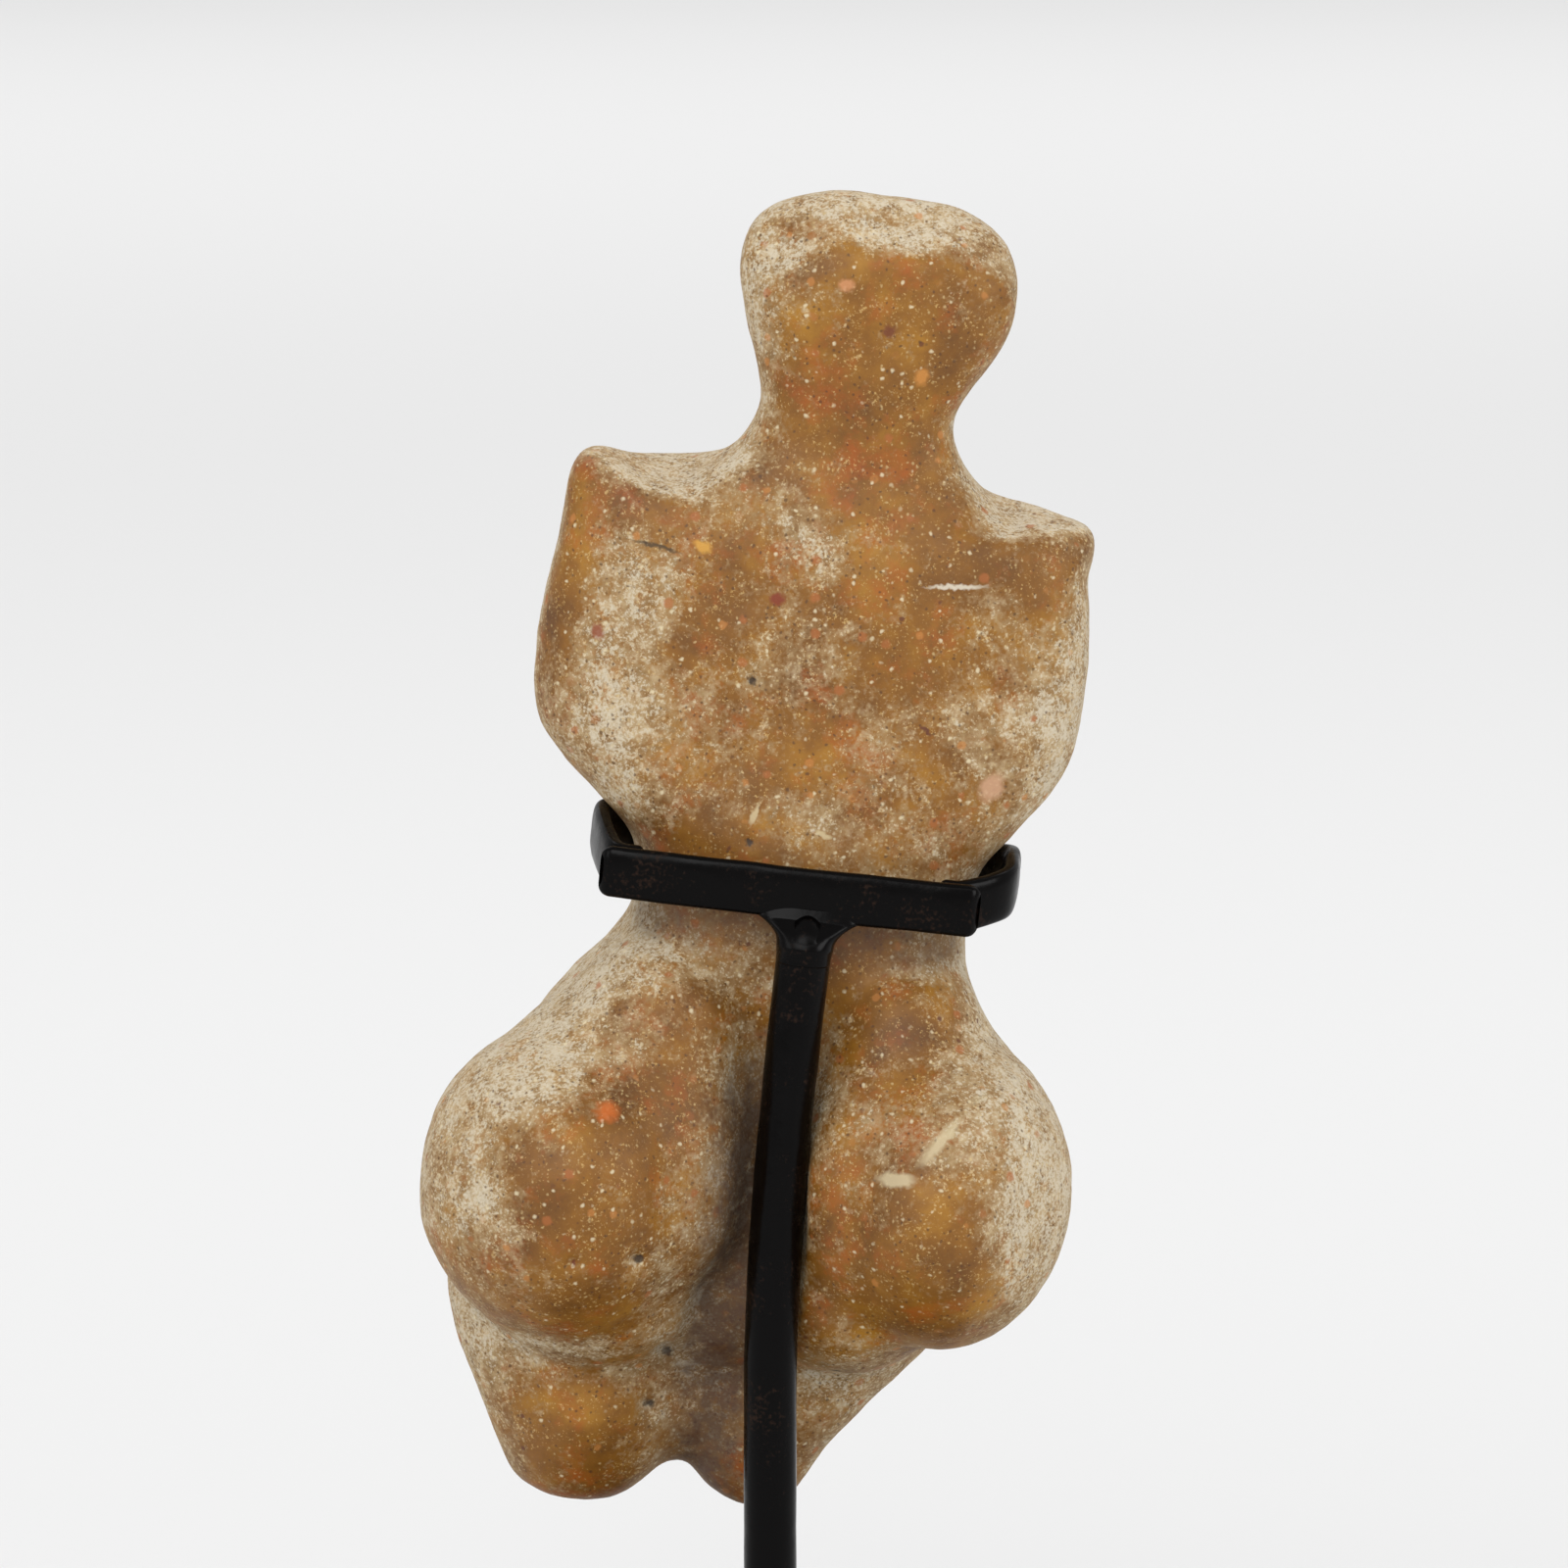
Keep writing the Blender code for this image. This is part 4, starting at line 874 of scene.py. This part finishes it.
def makeHardware():
    form = hardwareForm
    steel = turnedMetal('blackened_turned_steel', steelLook['dark'], steelLook['light'],
                        steelLook['latheLine'], steelLook['roughness'])
    brass = turnedMetal('machined_brass', brassLook['tarnish'], brassLook['bright'], brassLook['scratch'],
                        brassLook['roughness'])
    _, flangeRadius, bottom, top = roundBox('stem_socket')
    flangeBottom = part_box('base_block')[1][2] / mm + 0.3
    flangeTop = flangeBottom + form['flangeThickness']
    cham, fillet, boss, bore = form['chamfer'], form['fillet'], form['bossRadius'], form['bore']
    arc = [(boss + fillet - fillet * math.sin(angle), flangeTop + fillet - fillet * math.cos(angle))
           for angle in np.linspace(0, math.pi / 2, 7)]
    profile = [(bore, bottom), (boss, bottom), (boss, flangeBottom), (flangeRadius - cham, flangeBottom),
               (flangeRadius, flangeBottom + cham), (flangeRadius, flangeTop - cham * 2),
               (flangeRadius - cham, flangeTop - cham / 2), (flangeRadius - cham * 2.5, flangeTop)]
    profile += arc + [(boss, top - cham), (boss - cham, top), (bore + cham, top), (bore, top - cham)]
    rim, hole = form['headRadius'] + 0.15, form['holeRadius']
    sinks = []
    for degrees in form['screwAngles']:
        angle = math.radians(degrees)
        centre = Vector((math.cos(angle), math.sin(angle), 0)) * form['screwCircle'] * mm
        sink = turned([(0, flangeTop - 4), (hole, flangeTop - 4), (hole, flangeTop - 1.75),
                       (rim, flangeTop - 0.25), (rim, flangeTop + 1), (0, flangeTop + 1)], 48, closed=False)
        bmesh.ops.translate(sink, verts=sink.verts, vec=centre)
        sinks.append(sink)
    socket = cutAway(turned(profile, 96), sinks)
    finishMesh('rod_socket', socket, steel, 'base', ['stem_socket'], sharp=True)
    radius, core = form['headRadius'], form['screwRadius']
    for number, slotAngle in enumerate(form['slotAngles'], 1):
        node = f'flange_screw_{number}'
        toAxis, _, bottom, head = roundBox(node)
        shank = [(0, bottom), (0.5, bottom + 0.6), (core, bottom + 2.6)]
        turn = bottom + 2.6
        while turn < head - 3.4:
            shank += [(core - 0.3, turn + 0.35), (core + 0.05, turn + 0.75), (core + 0.05, turn + 0.85)]
            turn += form['threadPitch']
        shank += [(core, head - 1.8), (radius - 0.1, head - 0.35), (radius, head - 0.2),
                  (radius - 0.12, head - 0.05), (radius * 0.6, head), (0, head)]
        slot = bmesh.new()
        bmesh.ops.create_cube(slot, size=1, matrix=Matrix.Translation((0, 0, head * mm))
                              @ Matrix.Rotation(math.radians(slotAngle), 4, 'Z')
                              @ Matrix.Diagonal((8 * mm, form['slot'][0] * mm, form['slot'][1] * 2 * mm, 1)))
        screw = cutAway(turned(shank, 48, closed=False), [slot])
        screw.transform(toAxis)
        finishMesh(f'slotted_screw_{number}', screw, brass, 'base', [node], sharp=True)
    _, outer, bottom, top = roundBox('stop_collar')
    edge, hole = form['ringRound'], form['grubHoleRadius']
    ring = turned([(bore, bottom + cham), (bore + cham, bottom), (outer - edge, bottom),
                   (outer, bottom + edge), (outer, top - edge), (outer - edge, top), (bore + cham, top),
                   (bore, top - cham)], 96)
    hole = turned([(0, 2.2), (hole, 2.2), (hole, outer - 0.35), (2.0, outer + 0.3), (0, outer + 0.3)], 40,
                  closed=False)
    outward = Matrix.Translation((0, 0, form['grubHeight'] * mm)) @ Matrix.Rotation(math.pi / 2, 4, 'X')
    hole.transform(outward)
    ring = cutAway(ring, [hole])
    finishMesh('stop_ring', ring, steel, 'collar', ['stop_collar'], sharp=True)
    face, tip = (-corner[1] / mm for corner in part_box('collar_screw'))
    core = form['grubRadius']
    grub = turned([(0, tip), (0.9, tip), (core, tip + 0.6), (core, face - 0.35), (core - 0.3, face),
                   (0, face)], 40, closed=False)
    key = bmesh.new()
    keyRadius = form['hexAcross'] / 1.732 * mm
    bmesh.ops.create_cone(key, cap_ends=True, segments=6, radius1=keyRadius, radius2=keyRadius, depth=3 * mm,
                          matrix=Matrix.Translation((0, 0, face * mm)))
    grub = cutAway(grub, [key])
    grub.transform(outward)
    finishMesh('hex_grub_screw', grub, steel, 'screw', ['collar_screw'], sharp=True)
    print('base: socket, ring and screws turned')


# Hardwood block under several coats of black lacquer, rubbed back: deep satin black, the grain just
# telling through, and the corners worn to brown
blockLook = {
    'lacquer': '#0b0a0a',
    'grain': '#17120f',
    'worn': '#3b2415',
    'dust': '#6f6a64',
    'edge': 1.5,
    'rubbedBack': 1.6,
    'grainWidth': 0.9,
    'grainLength': 26,
    'wellRadius': 6.45,
    'wellFloor': 10,
}


def makeBlock():
    look = blockLook
    low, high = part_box('base_block')
    middle = (Vector(low) + Vector(high)) / 2
    size = Vector(high) - Vector(low)
    bm = bmesh.new()
    bmesh.ops.create_cube(bm, size=1, matrix=Matrix.Translation(middle) @ Matrix.Diagonal((*size, 1)))
    bmesh.ops.bevel(bm, geom=bm.edges[:], offset=look['edge'] * mm, affect='EDGES', segments=5,
                    profile=0.5, material=-1)
    long = [edge for edge in bm.edges if edge.calc_length() > 15 * mm]
    bmesh.ops.subdivide_edges(bm, edges=long, cuts=23, use_grid_fill=True)
    wear = bm.verts.layers.float.new('edge')
    for vert in bm.verts:
        reach = [size[axis] / 2 - abs(vert.co[axis] - middle[axis]) for axis in range(3)]
        nearest = sorted(reach)[1]
        rub = 0.5 + 0.5 * noise.noise(vert.co / (9 * mm))
        vert[wear] = max(0.0, 1 - nearest / (look['rubbedBack'] * mm)) * rub
    # well for the socket and the rod's foot, and pilot holes for the screws
    well, floor, above = look['wellRadius'], look['wellFloor'], high[2] / mm + 10
    holes = [turned([(0, floor), (well, floor), (well, above), (0, above)], 64, closed=False)]
    pilotRadius = hardwareForm['holeRadius']
    for number in (1, 2, 3):
        toAxis, _, tip, _ = roundBox(f'flange_screw_{number}')
        pilot = turned([(0, tip - 0.2), (pilotRadius, tip - 0.2), (pilotRadius, above), (0, above)], 24,
                       closed=False)
        pilot.transform(toAxis)
        holes.append(pilot)
    material, tree, shader = newMaterial('black_lacquered_hardwood')
    place = (addNode(tree, 'TexCoord'), 'Object')
    stretch = addNode(tree, 'Mapping', {'Vector': place, 'Rotation': (0.02, 0.03, 0.05),
                                        'Scale': (1 / look['grainLength'], 1 / look['grainWidth'],
                                                  1 / look['grainWidth'])})
    grain = addNode(tree, 'TexNoise', {'Vector': stretch, 'Scale': 1 / mm, 'Detail': 4})
    haze = addNode(tree, 'TexNoise', {'Vector': place, 'Scale': 1 / (14 * mm), 'Detail': 4})
    dust = addNode(tree, 'TexVoronoi', {'Vector': place, 'Scale': 1 / (1.6 * mm)})
    speck = addNode(tree, 'MapRange', {'Value': dust, 'From Min': 0.09, 'From Max': 0.05, 'To Max': 0.25})
    edge = (addNode(tree, 'Attribute', attribute_name='edge'), 'Fac')
    worn = addNode(tree, 'Math', {0: grain, 1: 0.6, 2: edge}, operation='MULTIPLY_ADD')
    worn = addNode(tree, 'MapRange', {'Value': worn, 'From Min': 0.72, 'From Max': 0.95, 'To Max': 0.75})
    tone = addNode(tree, 'ValToRGB', {0: grain}, ((0.35, look['lacquer']), (0.75, look['grain'])))
    colour = addNode(tree, 'Mix', {0: worn, 6: tone, 7: look['worn']}, data_type='RGBA')
    colour = addNode(tree, 'Mix', {0: speck, 6: (colour, 2), 7: look['dust']}, data_type='RGBA')
    rough = addNode(tree, 'MapRange', {'Value': haze, 'From Min': 0.3, 'From Max': 0.7, 'To Min': 0.24,
                                       'To Max': 0.4})
    rough = addNode(tree, 'Math', {0: worn, 1: 0.3, 2: rough}, operation='MULTIPLY_ADD')
    bump = addNode(tree, 'Bump', {'Height': grain, 'Strength': 0.18, 'Distance': 0.06 * mm})
    setInputs(tree, shader, {'Base Color': (colour, 2), 'Roughness': rough, 'Normal': bump,
                             'Coat Weight': 0.35, 'Coat Roughness': 0.2})
    block = cutAway(bm, holes)
    finishMesh('lacquered_block', block, material, 'base', ['base_block'], sharp=True)
    print('base: block shaped')


# Pressed wool felt glued under the corners: soft-edged, fibrous, dull
feltLook = {'dark': '#0c0c0e', 'light': '#2b2a2c', 'fibre': 0.3}


def makeFeet():
    material, tree, shader = newMaterial('pressed_wool_felt')
    place = (addNode(tree, 'TexCoord'), 'Object')
    fibre = addNode(tree, 'TexNoise', {'Vector': place, 'Scale': 1 / (feltLook['fibre'] * mm), 'Detail': 5,
                                       'Distortion': 2.0})
    colour = addNode(tree, 'ValToRGB', {0: fibre}, ((0.35, feltLook['dark']), (0.7, feltLook['light'])))
    bump = addNode(tree, 'Bump', {'Height': fibre, 'Strength': 0.7, 'Distance': 0.15 * mm})
    setInputs(tree, shader, {'Base Color': colour, 'Roughness': 1.0, 'Sheen Weight': 0.4, 'Normal': bump})
    for number in (1, 2, 3, 4):
        toAxis, radius, bottom, top = roundBox(f'foot_{number}')
        disc = turned([(0, bottom), (radius * 0.5, bottom), (radius - 0.5, bottom),
                       (radius - 0.12, bottom + 0.25), (radius, bottom + 0.7), (radius - 0.06, top - 0.35),
                       (radius - 0.35, top), (0, top)], 64, closed=False)
        for vert in disc.verts:
            fray = noise.noise_vector((vert.co + Vector((number, 0, 0))) / (1.4 * mm)) * 0.1 * mm
            vert.co.x += min(max(fray.x, -0.1 * mm), 0)
            vert.co.y += fray.y * 0.5
        disc.transform(toAxis)
        finishPiece(f'felt_foot_{number}', disc, material, 'base', [f'foot_{number}'])
    print('base: feet glued')


makeHardware()
makeBlock()
makeFeet()


# Soft, even light on a pale sweep of paper: a large softbox in front above, weaker ones at the sides, and
# wide ones that only light the floor. The camera looks down a little, from far off with a long lens
studio = {
    'floor': '#e6e6e6',
    'worldColour': '#ffffff',
    'worldStrength': 0.55,
    # name, place and target in m, size in m, watts
    'softboxes': (
        ('key', (-0.4, -1.7, 1.25), (0, 0.02, 0.15), (1.3, 0.9), 12.8),
        ('fillLeft', (-1.2, -0.7, 0.6), (0, 0.02, 0.14), (0.6, 0.5), 2.2),
        ('fillRight', (1.2, -0.7, 0.6), (0, 0.02, 0.14), (0.6, 0.5), 4.4),
        ('nearSweep', (0, 0.6, 1.5), (0, 1.3, 0), (2.4, 0.7), 12),
        ('farSweep', (0, 3.4, 3.4), (0, 6.4, 0), (7, 3), 118),
        ('foreSweep', (0, -3.2, 3.0), (0, -4.8, 0), (6, 2), 68)),
    'distance': 0.98,
    'elevation': 8.5,
    'aim': (1.67 * mm, 19.95 * mm, 167.4 * mm),
    'width': 190.5 * mm,
}


def makeStage():
    bm = bmesh.new()
    bmesh.ops.create_grid(bm, x_segments=8, y_segments=8, size=9)
    floor = addObject('floor', meshFrom('floor', bm))
    material, tree, shader = newMaterial('matt_backdrop_paper')
    setInputs(tree, shader, {'Base Color': studio['floor'], 'Roughness': 1.0})
    floor.data.materials.append(material)
    world = bpy.data.worlds.new('studio')
    bpy.context.scene.world = world
    world.use_nodes = True
    setInputs(world.node_tree, world.node_tree.nodes['Background'],
              {'Color': studio['worldColour'], 'Strength': studio['worldStrength']})
    for name, place, target, size, watts in studio['softboxes']:
        lamp = bpy.data.lights.new(name, 'AREA')
        lamp.shape = 'RECTANGLE'
        lamp.size, lamp.size_y = size
        lamp.energy = watts
        box = addObject(name, lamp)
        box.location = place
        box.visible_camera = False
        box.rotation_euler = (Vector(target) - Vector(place)).to_track_quat('-Z', 'Y').to_euler()
    # colours come out as the materials give them
    bpy.context.scene.view_settings.view_transform = 'Standard'


def makeCamera():
    lens = bpy.data.cameras.new('camera')
    lens.sensor_width = 36
    lens.lens = 36 * studio['distance'] / studio['width']
    lens.clip_start = 0.05
    camera = addObject('camera', lens)
    tilt = math.radians(studio['elevation'])
    aim = Vector(studio['aim'])
    camera.location = aim + Vector((0, -math.cos(tilt), math.sin(tilt))) * studio['distance']
    camera.rotation_euler = (math.pi / 2 - tilt, 0, 0)
    bpy.context.scene.camera = camera


makeStage()
makeCamera()
